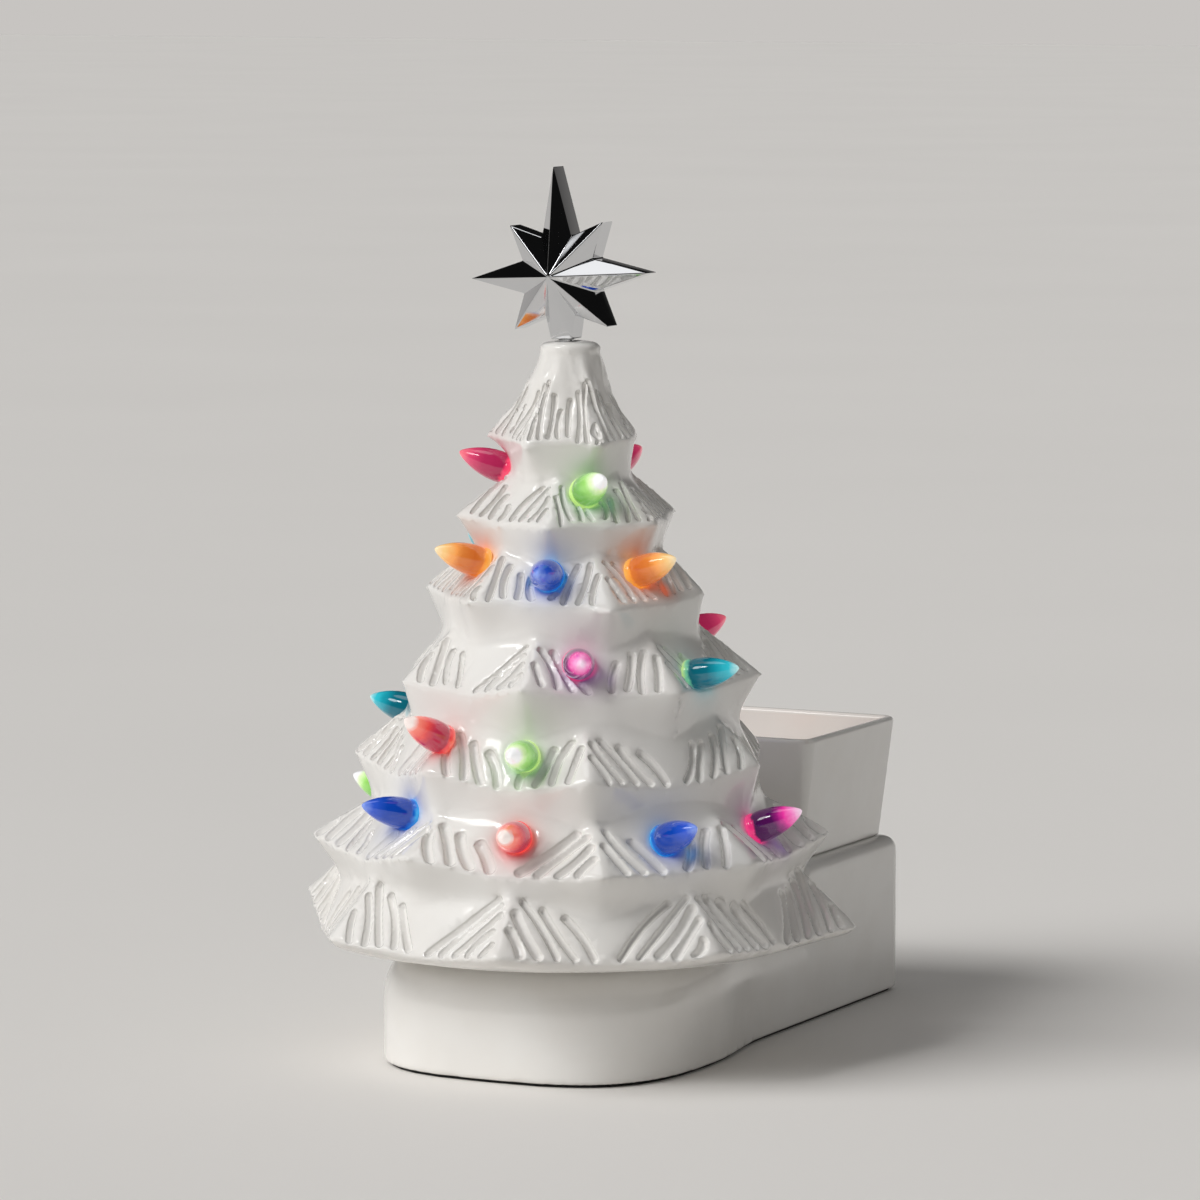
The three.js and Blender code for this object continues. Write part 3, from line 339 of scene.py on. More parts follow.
def new_material(name, values):
    """A new material with its shader and output, and a texture coordinate for its patterns"""
    material = bpy.data.materials.new(name)
    material.use_nodes = True
    tree = material.node_tree
    tree.nodes.clear()
    shader = add(tree, "ShaderNodeBsdfPrincipled", values)
    add(tree, "ShaderNodeOutputMaterial", links={"Surface": shader.outputs[0]})
    place = add(tree, "ShaderNodeTexCoord").outputs["Object"]
    return material, tree, shader, place


def grey(value):
    return (value, value, value, 1)


def noise(tree, place, size, detail=2.0, distortion=0.0):
    """A cloudy pattern whose patches are about a size across"""
    values = {"Scale": 1 / size, "Detail": detail, "Distortion": distortion}
    return add(tree, "ShaderNodeTexNoise", values, {"Vector": place}).outputs["Fac"]


def mottle(tree, shader, pattern, socket, low, high):
    """Drives a socket of the shader from a pattern, between two colours or two values"""
    stops = [(0.3, low), (0.7, high)]
    shade = add(tree, "ShaderNodeValToRGB", links={"Fac": pattern}, stops=stops)
    tree.links.new(shade.outputs["Color"], shader.inputs[socket])
    return shade.outputs["Color"]


def relief(tree, shader, layers):
    """Bump from patterns, each with its height in metres, one on top of the other"""
    normal = None
    for pattern, height in layers:
        links = {"Height": pattern}
        if normal:
            links["Normal"] = normal
        normal = add(tree, "ShaderNodeBump", {"Distance": height, "Strength": 1.0}, links).outputs["Normal"]
    tree.links.new(normal, shader.inputs["Normal"])


def copy_of(node, name):
    """A merged copy of a CAD node's mesh as a piece of its own"""
    piece = bpy.data.objects.new(name, cad[node].data.copy())
    bpy.context.scene.collection.objects.link(piece)
    piece.data.materials.clear()
    edit(piece, "VERT")
    bpy.ops.object.mode_set(mode="EDIT")
    bpy.ops.mesh.select_all(action="SELECT")
    bpy.ops.mesh.remove_doubles(threshold=MERGE_DISTANCE)
    bpy.ops.object.mode_set(mode="OBJECT")
    return piece


def apply_modifier(piece, kind, **settings):
    pick(piece)
    modifier = piece.modifiers.new(kind.title(), kind)
    for name, value in settings.items():
        setattr(modifier, name, value)
    bpy.ops.object.modifier_apply(modifier=modifier.name)


def dress(piece, material, body, slot, *replaced):
    piece.data.materials.clear()
    piece.data.materials.append(material)
    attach(piece, body)
    if replaced:
        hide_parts(*replaced)
    return piece


def vectors(parts, name):
    values = np.empty(len(parts) * 3)
    parts.foreach_get(name, values)
    return values.reshape(-1, 3)


def points_of(piece):
    return vectors(piece.data.vertices, "co")


def normals_of(piece):
    return vectors(piece.data.vertices, "normal")


def set_points(piece, points):
    piece.data.vertices.foreach_set("co", points.reshape(-1))
    piece.data.update()


def keep(piece, name, values):
    """Keeps a number or a colour for each point on the mesh, as an attribute that a material reads"""
    kind, field = ("FLOAT", "value") if values.ndim == 1 else ("FLOAT_COLOR", "color")
    attribute = piece.data.attributes.new(name, kind, "POINT")
    attribute.data.foreach_set(field, values.reshape(-1))


def mesh_piece(name, points, faces):
    mesh = bpy.data.meshes.new(name)
    mesh.from_pydata([tuple(point) for point in points], [], faces)
    mesh.update()
    piece = bpy.data.objects.new(name, mesh)
    bpy.context.scene.collection.objects.link(piece)
    return piece


def loft(name, rings):
    """A closed skin through rings of equally many points"""
    count = len(rings[0])
    faces = []
    for ring in range(len(rings) - 1):
        for i in range(count):
            a, b = ring * count + i, ring * count + (i + 1) % count
            faces.append((a, b, b + count, a + count))
    faces.append(tuple(reversed(range(count))))
    faces.append(tuple((len(rings) - 1) * count + i for i in range(count)))
    return mesh_piece(name, [point for ring in rings for point in ring], faces)


# Places of branches, grooves and bulbs

def around(azimuth, radius, height):
    angle = math.radians(azimuth)
    return np.array([radius * math.sin(angle), -radius * math.cos(angle), height]) * MM


def direction(azimuth, height):
    """A level azimuth and a height over the horizon, both in degrees, as a direction"""
    azimuth, height = math.radians(azimuth), math.radians(height)
    level = math.cos(height)
    return Vector((math.sin(azimuth) * level, -math.cos(azimuth) * level, math.sin(height)))


def branch_slopes(even):
    """Each branch's two grooved slopes: spring, tip and outer corner, head of the valley over that corner,
    spacing and lean. The solid's slopes are evenly wide, and those of the strokes meet the next ones"""
    slopes = []
    for spring_height, spring_radius, skirt_height, skirt_radius, spacing, branches in TIERS:
        for i, (azimuth, reach, tip, *leans) in enumerate(branches):
            after = (branches[(i + 1) % len(branches)][0] - azimuth) % 360
            before = (azimuth - branches[i - 1][0]) % 360
            for side, gap, lean in zip((-1, 1), (before, after), leans):
                half = min(after, before) / 2 if even else gap / 2
                corner = around(
                    azimuth + side * half, skirt_radius - BRANCH_SINK, skirt_height + BRANCH_SINK / 2)
                above = around(azimuth + side * half, spring_radius, spring_height)
                slopes.append((around(azimuth, spring_radius, spring_height), around(azimuth, reach, tip),
                               corner, corner + (above - corner) * VALLEY_SHARE, spacing * MM, lean))
    return slopes


def chance(number):
    """Shares that seem to follow no order, one for each number"""
    return (number * 0.618034) % 1


def room_ahead(start, rise, outline, normal):
    """How far a line from a point of a flat outline's foot runs before it leaves the outline"""
    middle = sum(outline) / len(outline)
    room = math.inf
    for a, b in zip(outline, outline[1:] + outline[:1]):
        outwards = np.cross(b - a, normal)
        outwards *= math.copysign(1, outwards @ (a - middle))
        speed = rise @ outwards
        if speed > 1e-9:
            room = min(room, (a - start) @ outwards / speed)
    return room


def groove_lines(slope, number, to_valley=True):
    """Lower and upper end of each groove of a slope: strokes from near its hem to near its upper edges. The
    solid's own stop at the line from the spring to the corner, and the others run on to the valley's head"""
    spring, tip, corner, valley, spacing, lean = slope
    normal = slope_normal(slope)
    flat_valley = valley - ((valley - tip) @ normal) * normal
    outline = [tip, corner, flat_valley, spring] if to_valley else [tip, corner, spring]
    count = math.floor(np.linalg.norm(corner - tip) / spacing)
    lines = []
    for i in range(count):
        place = (i + 0.5) / count
        share = place + (lean - place) * PARALLEL_SHARE
        start = tip + (corner - tip) * place
        rise = spring - tip - (corner - tip) * share
        rise /= np.linalg.norm(rise)
        length = room_ahead(start, rise, outline, normal)
        low = GROOVE_MARGIN * (1 + chance(7 * number + 3 * i))
        if to_valley:
            low *= FINE_HEM_SHARE if spacing < FINE_SPACING else BROAD_HEM_SHARE
        high = length - GROOVE_MARGIN * (1 + 2 * chance(5 * number + 2 * i))
        if high - low > (SHORTEST_STROKE if to_valley else SHORTEST_GROOVE) * spacing:
            lines.append((start + rise * low, start + rise * high))
    return lines


def bulb_places():
    """Name, seat and axis of each bulb, read from its CAD node"""
    places = []
    for name in sorted(n for n in cad if n.startswith("bulb_")):
        points = points_of(cad[name])
        centre = points.mean(axis=0)
        _, _, axes = np.linalg.svd(points - centre, full_matrices=False)
        axis = axes[0]
        if np.dot(axis[:2], centre[:2]) < 0:
            axis = -axis
        seat = centre + axis * (np.dot(points - centre, axis).max() - BULB_LENGTH * MM)
        places.append((name, seat, axis))
    return places


def smooth_step(low, high, value):
    share = np.clip((value - low) / (high - low), 0, 1)
    return share * share * (3 - 2 * share)


def slope_normal(slope):
    spring, tip, corner = slope[:3]
    normal = np.cross(tip - spring, corner - spring)
    return normal / (np.linalg.norm(normal) * math.copysign(1, normal @ (tip * (1, 1, 0))))


def fill_grooves(tree):
    """Fills the solid's own plain grooves with bars, so that softer ones can be pressed in later"""
    points, faces = [], []
    for number, slope in enumerate(branch_slopes(even=True)):
        normal = slope_normal(slope)
        half = GROOVE_SHARE * slope[4] / 2
        for low, high in groove_lines(slope, number, to_valley=False):
            along = (high - low) / np.linalg.norm(high - low)
            across = np.cross(normal, along) * (half + BAR_SIDE)
            low, high = low - along * BAR_END, high + along * BAR_END
            first = len(points)
            for drop in (normal * (GROOVE_DEPTH + BAR_SINK), 0):
                points += [low - across - drop, high - across - drop]
                points += [high + across - drop, low + across - drop]
            box = [(3, 2, 1, 0), (4, 5, 6, 7), (0, 1, 5, 4), (1, 2, 6, 5), (2, 3, 7, 6), (3, 0, 4, 7)]
            faces += [tuple(first + i for i in face) for face in box]
    bars = mesh_piece("bars", points, faces)
    pick(tree)
    bars.select_set(True)
    bpy.ops.object.join()


def groove_depths(points, normals, slopes):
    """Depth of the strokes at each point, from 0 to 1, and how far it lies from one, in its half widths"""
    depth = np.zeros(len(points))
    near = np.full(len(points), NO_STROKE)
    for number, slope in enumerate(slopes):
        normal = slope_normal(slope)
        facing = (np.abs((points - slope[0]) @ normal) < SLOPE_REACH) & (normals @ normal > LEAST_FACING)
        for i, (low, high) in enumerate(groove_lines(slope, number)):
            width = STROKE_LEAST_WIDTH + STROKE_MORE_WIDTH * chance(3 * number + 5 * i)
            half = GROOVE_SHARE * slope[4] / 2 * width
            bend = (chance(11 * number + 4 * i) - 0.5) * STROKE_BEND
            length = np.linalg.norm(high - low)
            along = (high - low) / length
            across = np.cross(normal, along)
            away = np.linalg.norm(points - (low + high) / 2, axis=1)
            own = np.flatnonzero(facing & (away < length / 2 + END_REACH))
            offset = points[own] - low
            reach = offset @ along
            sway = bend * np.sin(np.clip(reach / length, 0, 1) * math.pi)
            beyond = reach - np.clip(reach, STROKE_END * half, length - STROKE_END * half)
            distance = np.hypot(offset @ across - sway, beyond) / half
            near[own] = np.minimum(near[own], distance)
            depth[own] = np.maximum(depth[own], 1 - smooth_step(*STROKE_WALL, distance))
    return depth, near


def face_places(piece):
    return vectors(piece.data.polygons, "center"), vectors(piece.data.polygons, "normal")


def change(piece, kind, chosen, operator, **settings):
    """Runs a mesh operator on the chosen vertices or faces of a piece"""
    edit(piece, kind)
    parts = piece.data.vertices if kind == "VERT" else piece.data.polygons
    parts.foreach_set("select", chosen)
    bpy.ops.object.mode_set(mode="EDIT")
    operator(**settings)
    bpy.ops.object.mode_set(mode="OBJECT")


def smooth_points(piece, chosen, repeat):
    change(piece, "VERT", chosen, bpy.ops.mesh.vertices_smooth, factor=0.5, repeat=repeat)


def refine(piece, chosen):
    change(piece, "FACE", chosen, bpy.ops.mesh.subdivide, number_cuts=1, smoothness=0)


def thin_out(piece, chosen, share):
    """Leaves a share of the chosen faces, fewest where the surface is flat"""
    change(piece, "FACE", chosen, bpy.ops.mesh.decimate, ratio=share)


def make_tree():
    """The tree cast in one piece: softened by its glaze, with strokes pressed into its branches"""
    tree = copy_of("tree_shell", "tree_ceramic")
    fill_grooves(tree)
    tree.data.remesh_voxel_size = TREE_VOXEL
    pick(tree)
    bpy.ops.object.voxel_remesh()
    thin_out(tree, is_inside(face_places(tree)[0]), INSIDE_FACES)
    points = points_of(tree)
    outer = ~is_inside(points)
    points[outer] = rounded_skirt(points[outer])
    set_points(tree, points)
    slopes = branch_slopes(even=False)
    near = groove_depths(points, normals_of(tree), slopes)[1]
    smooth_points(tree, outer, SOFTEN_ALL)
    clear = outer & (near > CLEAR_OF_STROKE)
    smooth_points(tree, clear, SOFTEN_CLEAR)
    smooth_points(tree, clear & (normals_of(tree)[:, 2] < UNDERSIDE_UP), SOFTEN_UNDERSIDE)
    neck = (points[:, 2] > NECK_FOOT) & (points[:, 2] < NECK_TOP) & (near > NECK_CLEAR_OF_STROKE)
    smooth_points(tree, outer & neck, SOFTEN_NECK)
    for least_height in (0, FINE_HEIGHT):
        centres, normals = face_places(tree)
        near = groove_depths(centres, normals, slopes)[1]
        refine(tree, (near < REFINED_NEAR) & (centres[:, 2] > least_height) & ~is_inside(centres))
    points, normals = points_of(tree), normals_of(tree)
    outer = ~is_inside(points)
    depth, near = groove_depths(points, normals, slopes)
    keep(tree, "stroke", np.minimum(near, MOST_KEPT))
    share = np.interp(points[:, 2] / MM, *zip(*STROKE_SHARE))
    points -= normals * (np.where(outer, depth, 0) * share * STROKE_DEPTH)[:, None]
    points[outer] += neck_folds(points[outer])
    set_points(tree, points)
    thin_out(tree, ~is_inside(face_places(tree)[0]), OUTSIDE_FACES)
    pick(tree)
    bpy.ops.object.shade_smooth()
    return tree


def is_inside(points):
    """True for points on the inner face of the tree's wall"""
    heights, radii = list(INNER_FOOT), [INNER_FOOT_RADIUS, INNER_FOOT_RADIUS]
    for spring_height, spring_radius, skirt_height, skirt_radius, _, _ in reversed(TIERS):
        heights += [skirt_height, spring_height]
        radii += [skirt_radius - INNER_SINK, spring_radius - INNER_SINK]
    limit = np.interp(points[:, 2], np.array(heights) * MM, np.array(radii) * MM)
    within = (points[:, 2] < INNER_TOP * MM) & (points[:, 1] < REAR_FLAT * MM)
    return (np.hypot(points[:, 0], points[:, 1]) < limit) & within


def rounded_skirt(points):
    """Points that lie on the many-sided skirt, moved out to the round it stands for"""
    profile = []
    for spring_height, spring_radius, skirt_height, skirt_radius, _, _ in reversed(TIERS):
        profile += [(skirt_height - HEM_LIP, skirt_radius - SKIRT_DIP), (skirt_height, skirt_radius),
                    (spring_height - SKIRT_DIP, spring_radius - SKIRT_DIP)]
    heights, radii = zip(*profile)
    corner = np.interp(points[:, 2], np.array(heights) * MM, np.array(radii) * MM)
    step = 2 * math.pi / SKIRT_STEPS
    azimuth = np.arctan2(points[:, 0], -points[:, 1])
    flat = math.cos(step / 2) / np.cos(azimuth % step - step / 2)
    away = np.abs(np.hypot(points[:, 0], points[:, 1]) - corner * flat)
    share = 1 - smooth_step(*ROUNDED_NEAR, away)
    moved = points.copy()
    moved[:, :2] *= (1 + (1 / flat - 1) * share)[:, None]
    return moved


def neck_folds(points):
    """Soft upright folds that run from the highest branches up the neck, which widens evenly down to them"""
    azimuth = np.arctan2(points[:, 0], -points[:, 1])
    height = points[:, 2] / MM
    wander = azimuth + FOLD_WANDER * np.sin(height / 5 + 2 * azimuth)
    fold = sum(share * np.sin(count * wander + phase) for share, count, phase in FOLDS)
    strength = smooth_step(*FOLD_RISE, height) * (1 - smooth_step(*FOLD_FALL, height)) * FOLD_HEIGHT
    fullness = np.interp(height, *zip(*NECK_FULLNESS)) * MM
    outside_the_hole = np.hypot(points[:, 0], points[:, 1]) > NECK_LEAST_RADIUS
    outwards = np.stack([np.sin(azimuth), -np.cos(azimuth), np.zeros(len(points))], axis=1)
    return outwards * ((fullness + fold * strength) * outside_the_hole)[:, None]


def colour_spill(piece, places):
    """Keeps on the mesh the coloured light that each bulb throws on the glaze near it"""
    points = points_of(piece)
    spill = np.zeros((len(points), 4))
    spill[:, 3] = 1
    for name, seat, axis in places:
        colour = np.array(linear(SPILL[name.split("_")[-1]])[:3])
        distance = np.linalg.norm(points - seat - axis * GLOW_RISE, axis=1)
        strength = GLOW_STRENGTH * np.exp(-np.maximum(distance - GLOW_RADIUS, 0) / GLOW_FADE)
        spill[:, :3] += strength[:, None] * colour
        spot = seat + axis * CAST_RISE - np.array(direction(KEY_AZIMUTH, KEY_HEIGHT)) * CAST_REACH
        distance = np.linalg.norm(points - spot, axis=1)
        strength = np.exp(-(distance / CAST_RADIUS) ** 2)
        spill[:, :3] += strength[:, None] * np.array(linear(CAST[name.split("_")[-1]])[:3])
    keep(piece, "spill", np.clip(spill, 0, 1))


# The bulbs

def make_bulbs(places):
    """One flame-shaped bulb spun from its outline, then copied into each seat"""
    outline = [Vector((radius, 0, height)) * MM for radius, height in BULB_OUTLINE]
    mesh = bpy.data.meshes.new("bulb_glass")
    mesh.from_pydata(outline, [(i, i + 1) for i in range(len(outline) - 1)], [])
    bulb = bpy.data.objects.new("bulb_glass", mesh)
    bpy.context.scene.collection.objects.link(bulb)
    edit(bulb, "VERT")
    bpy.ops.object.mode_set(mode="EDIT")
    bpy.ops.mesh.select_all(action="SELECT")
    bpy.ops.mesh.spin(steps=32, angle=2 * math.pi, center=(0, 0, 0), axis=(0, 0, 1))
    bpy.ops.mesh.select_all(action="SELECT")
    bpy.ops.mesh.remove_doubles(threshold=MERGE_DISTANCE)
    bpy.ops.mesh.normals_make_consistent(inside=False)
    bpy.ops.object.mode_set(mode="OBJECT")
    bpy.ops.object.shade_smooth()
    keep(bulb, "along", np.clip(points_of(bulb)[:, 2] / (BULB_LENGTH * MM), 0, 1))
    for name, seat, axis in places:
        turn = Vector((0, 0, 1)).rotation_difference(Vector(axis)).to_matrix().to_4x4()
        piece = bpy.data.objects.new(name + "_glass", bulb.data.copy())
        bpy.context.scene.collection.objects.link(piece)
        piece.data.transform(Matrix.Translation(Vector(seat)) @ turn)
        colour = name.split("_")[-1]
        dress(piece, GLASS_MATERIALS[colour], "tree", "bulb_" + colour, name)
    bpy.data.objects.remove(bulb)


# The base and the dish

def base_side():
    """The +X side of the low part's plan, from beside its front point to the end of its waist"""
    points = []
    for step in range(1, 28):
        angle = step / 28 * math.pi / 2
        full = 2 / FRONT_FULLNESS
        points.append((BASE_HALF_WIDTH * math.sin(angle) ** full, -BASE_FRONT * math.cos(angle) ** full))
    for step in range(17):
        share = step / 16
        width = BASE_HALF_WIDTH + (WAIST_HALF_WIDTH - BASE_HALF_WIDTH) * share * share * (3 - 2 * share)
        points.append((width, share * WAIST_END))
    return points


def rear_corner(wall=0.0):
    radius = REAR_CORNER - wall
    points = []
    for step in range(9):
        angle = step / 8 * math.pi / 2
        x = WAIST_HALF_WIDTH - wall - radius * (1 - math.cos(angle))
        points.append((x, BASE_REAR - wall - radius * (1 - math.sin(angle))))
    return points


def both_sides(right, front=()):
    return np.array([*front, *right, *[(-x, y) for x, y in reversed(right)]])


def inset(outline, distance):
    """An outline moved inwards; its points run anticlockwise"""
    before = np.roll(outline, 1, axis=0)
    after = np.roll(outline, -1, axis=0)
    first, second = outline - before, after - outline
    normals = []
    for edge in (first, second):
        side = np.stack([-edge[:, 1], edge[:, 0]], axis=1)
        normals.append(side / np.linalg.norm(side, axis=1)[:, None])
    middle = normals[0] + normals[1]
    middle /= np.linalg.norm(middle, axis=1)[:, None]
    return outline + middle * (distance / (middle * normals[0]).sum(axis=1))[:, None]


def ring(outline, height):
    return [(x, y, height) for x, y in outline]


def rounded_slab(name, plan, bottom, top, edge_inset, edge_drop, steps=10):
    """A slab with upright sides and a rounded top edge"""
    rings = [ring(plan, bottom)]
    for step in range(steps + 1):
        angle = step / steps * math.pi / 2
        distance = edge_inset * (1 - math.cos(angle))
        rings.append(ring(inset(plan, distance), top - edge_drop * (1 - math.sin(angle))))
    return loft(name, rings)


def cylinder(radius, low, high, steps=64, along_y=False):
    """A cylinder between two points of its axis, as a cutter or a joined piece"""
    low, high = Vector(low), Vector(high)
    turn = (math.pi / 2, 0, 0) if along_y else (0, 0, 0)
    deselect()
    bpy.ops.mesh.primitive_cylinder_add(
        vertices=steps, radius=radius, depth=(high - low).length, location=(low + high) / 2, rotation=turn)
    piece = bpy.context.object
    bpy.ops.object.transform_apply(location=True, rotation=True, scale=True)
    return piece


def block(low, high):
    low, high = Vector(low), Vector(high)
    deselect()
    bpy.ops.mesh.primitive_cube_add(size=1, location=(low + high) / 2, scale=high - low)
    piece = bpy.context.object
    bpy.ops.object.transform_apply(location=True, rotation=True, scale=True)
    return piece


def combine(piece, other, operation):
    apply_modifier(piece, "BOOLEAN", object=other, operation=operation, solver="EXACT")
    bpy.data.objects.remove(other)


def make_base():
    """The hollow base casting: its low round front flows into the block under one coat of glaze"""
    low_rear = BLOCK_FRONT + 2 * (BASE_WALL + SHOULDER_INSET)
    low_plan = both_sides([*base_side(), (WAIST_HALF_WIDTH, low_rear)], [(0, -BASE_FRONT)])
    block_plan = both_sides([(WAIST_HALF_WIDTH, BLOCK_FRONT), *rear_corner()])
    drop = DECK_HEIGHT - SIDE_HEIGHT
    base = rounded_slab("base_ceramic", low_plan, PAD_THICKNESS, DECK_HEIGHT, SHOULDER_INSET, drop)
    rear = rounded_slab("rear", block_plan, PAD_THICKNESS, BLOCK_HEIGHT, BLOCK_EDGE, BLOCK_EDGE)
    combine(base, rear, "UNION")
    wall = inset(low_plan, BASE_WALL)
    hollow = rounded_slab("hollow", wall, 0, DECK_HEIGHT - BASE_WALL, SHOULDER_INSET, drop)
    combine(base, hollow, "DIFFERENCE")
    inner = both_sides([(WAIST_HALF_WIDTH - BASE_WALL, BLOCK_FRONT + BASE_WALL), *rear_corner(BASE_WALL)])
    tight = (REAR_CORNER - BASE_WALL) / 2
    combine(base, rounded_slab("hollow", inner, 0, BLOCK_HEIGHT - BASE_WALL, tight, tight), "DIFFERENCE")
    combine(base, cylinder(COLLAR_RADIUS, (0, 0, COLLAR_FOOT), (0, 0, COLLAR_TOP)), "UNION")
    for radius, y, foot in ((COLLAR_BORE, 0, DECK_HEIGHT), (LAMP_HOLE, 0, 0),
                            (PLATE_RECESS, DISH_Y, PLATE_RECESS_FLOOR), (HEATER_HOLE, DISH_Y, 0)):
        combine(base, cylinder(radius, (0, y, foot), (0, y, CUTTER_TOP)), "DIFFERENCE")
    inside, outside = BASE_REAR - CUTTER_REACH, BASE_REAR + CUTTER_REACH
    switch_low, switch_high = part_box("switch_body")
    combine(base, block(
        (switch_low.x + SWITCH_MARGIN, inside, switch_low.z + SWITCH_MARGIN),
        (switch_high.x - SWITCH_MARGIN, outside, switch_high.z - SWITCH_MARGIN)), "DIFFERENCE")
    cord = cylinder(CORD_HOLE, (CORD_X, inside, CORD_HEIGHT), (CORD_X, outside, CORD_HEIGHT), along_y=True)
    combine(base, cord, "DIFFERENCE")
    base.data.remesh_voxel_size = BASE_VOXEL
    pick(base)
    bpy.ops.object.voxel_remesh()
    smooth_points(base, [True] * len(base.data.vertices), SOFTEN_BASE)
    bpy.ops.object.shade_smooth()
    return base


def dish_profile():
    """The dish's section from foot over rim to floor, as inset from the rim's outline and height"""
    def taper(height):
        return DISH_TAPER * (1 - height / DISH_HEIGHT)

    edge, lip, bend = DISH_FOOT_EDGE, DISH_RIM_EDGE, DISH_FLOOR_BEND
    lip_height = DISH_HEIGHT - lip
    bend_height = DISH_FLOOR + bend
    quarter = [step / 6 * math.pi / 2 for step in range(7)]
    profile = [(taper(0) + edge * (1 - math.sin(a)), edge * (1 - math.cos(a))) for a in quarter]
    outside = taper(lip_height)
    profile += [(outside + lip * (1 - math.cos(a)), lip_height + lip * math.sin(a)) for a in quarter]
    inside = outside + DISH_WALL
    profile += [(inside - lip * (1 - math.sin(a)), lip_height + lip * math.cos(a)) for a in quarter]
    foot = taper(bend_height) + DISH_WALL
    profile += [(foot + bend * (1 - math.cos(a)), bend_height - bend * math.sin(a)) for a in quarter]
    return profile


def dish_ring(half_x, half_y, radius, height):
    ring = []
    for turn, (x, y) in enumerate(((1, 1), (-1, 1), (-1, -1), (1, -1))):
        for step in range(9):
            angle = (turn + step / 8) * math.pi / 2
            ring.append((x * (half_x - radius) + radius * math.cos(angle),
                         DISH_Y + y * (half_y - radius) + radius * math.sin(angle), height))
    return ring


def make_dish():
    """The square dish: tapered walls with round corners, a round rim and a floor that bends up into them"""
    rings = []
    for distance, height in dish_profile():
        radius = max(DISH_CORNER - distance, DISH_LEAST_CORNER)
        rings.append(dish_ring(
            RIM_HALF_WIDTH - distance, DISH_HALF_Y - distance, radius, BLOCK_HEIGHT + height))
    dish = loft("dish_ceramic", rings)
    pick(dish)
    bpy.ops.object.shade_smooth_by_angle(angle=math.radians(40))
    return dish


def warm_inside(dish):
    """Keeps on the dish's mesh the warm light of the heater that its inside shows"""
    points = points_of(dish)
    height = points[:, 2] - BLOCK_HEIGHT
    sunk = DISH_TAPER * (1 - height / DISH_HEIGHT)
    inside_x = RIM_HALF_WIDTH - sunk - np.abs(points[:, 0]) > WARM_SINK
    inside_y = DISH_HALF_Y - sunk - np.abs(points[:, 1] - DISH_Y) > WARM_SINK
    inside = inside_x & inside_y & (height > WARM_FOOT)
    warm = np.zeros((len(points), 4))
    warm[:, 3] = 1
    warm[inside, :3] = WARM_LIGHT
    keep(dish, "spill", warm)


def softened(node, name, width, segments=2, angle=25):
    """A merged copy of a CAD node with its sharp edges rounded"""
    piece = copy_of(node, name)
    apply_modifier(piece, "BEVEL", width=width, segments=segments, limit_method="ANGLE",
                   angle_limit=math.radians(angle), harden_normals=False)
    pick(piece)
    bpy.ops.object.shade_smooth_by_angle(angle=math.radians(35))
    apply_modifier(piece, "WEIGHTED_NORMAL", keep_sharp=True)
    return piece


# Finishes

# How strongly the lit glass and the glaze beside it shine, the most of its colour that the glaze takes on,
# how far the swirls shift the glass's colours, and the glaze's lip along a stroke: foot and top, as shares
# of the stroke's half width, and height
GLASS_GLOW = 0.6
GLAZE_GLOW = 0.12
MOST_TINT = 0.62
SWIRL_REACH = 0.14
LIP_FOOT = 0.8
LIP_TOP = 1.25
LIP_HEIGHT = 0.3 * MM


def glaze(name, light, dark):
    """Slip-cast earthenware under a clear glossy glaze: a white slightly clouded where the glaze pools,
    polish that changes in patches, ripples, a fine orange peel and a lip along each stroke. The light of the
    bulbs tints it, and it shines a little there"""
    material, tree, shader, place = new_material(name, {
        "IOR": 1.52, "Coat Weight": 0.6, "Coat Roughness": 0.04, "Coat IOR": 1.5})
    clouds = noise(tree, place, 22 * MM, detail=3.0)
    body = add(tree, "ShaderNodeValToRGB", links={"Fac": clouds},
               stops=[(0.3, linear(dark)), (0.7, linear(light))])
    spill = add(tree, "ShaderNodeAttribute", attribute_name="spill", attribute_type="GEOMETRY")
    most = add(tree, "ShaderNodeSeparateColor", links={"Color": spill.outputs["Color"]}, mode="HSV")
    share = add(tree, "ShaderNodeMath", {1: MOST_TINT}, {0: most.outputs["Blue"]}, operation="MULTIPLY")
    links = {0: share.outputs[0], 6: body.outputs["Color"], 7: spill.outputs["Color"]}
    tinted = add(tree, "ShaderNodeMix", links=links, data_type="RGBA")
    tree.links.new(tinted.outputs[2], shader.inputs["Base Color"])
    tree.links.new(spill.outputs["Color"], shader.inputs["Emission Color"])
    shader.inputs["Emission Strength"].default_value = GLAZE_GLOW
    mottle(tree, shader, noise(tree, place, 9 * MM, detail=4.0), "Roughness", grey(0.1), grey(0.17))
    ripple = noise(tree, place, 12 * MM, detail=1.0)
    peel = noise(tree, place, 1.6 * MM, detail=2.0)
    stroke = add(tree, "ShaderNodeAttribute", attribute_name="stroke", attribute_type="GEOMETRY")
    lip = add(tree, "ShaderNodeMapRange", {"From Min": LIP_FOOT, "From Max": LIP_TOP},
              {"Value": stroke.outputs["Fac"]}, interpolation_type="SMOOTHSTEP")
    relief(tree, shader, [(ripple, 0.2 * MM), (peel, 0.012 * MM), (lip.outputs["Result"], LIP_HEIGHT)])
    return material


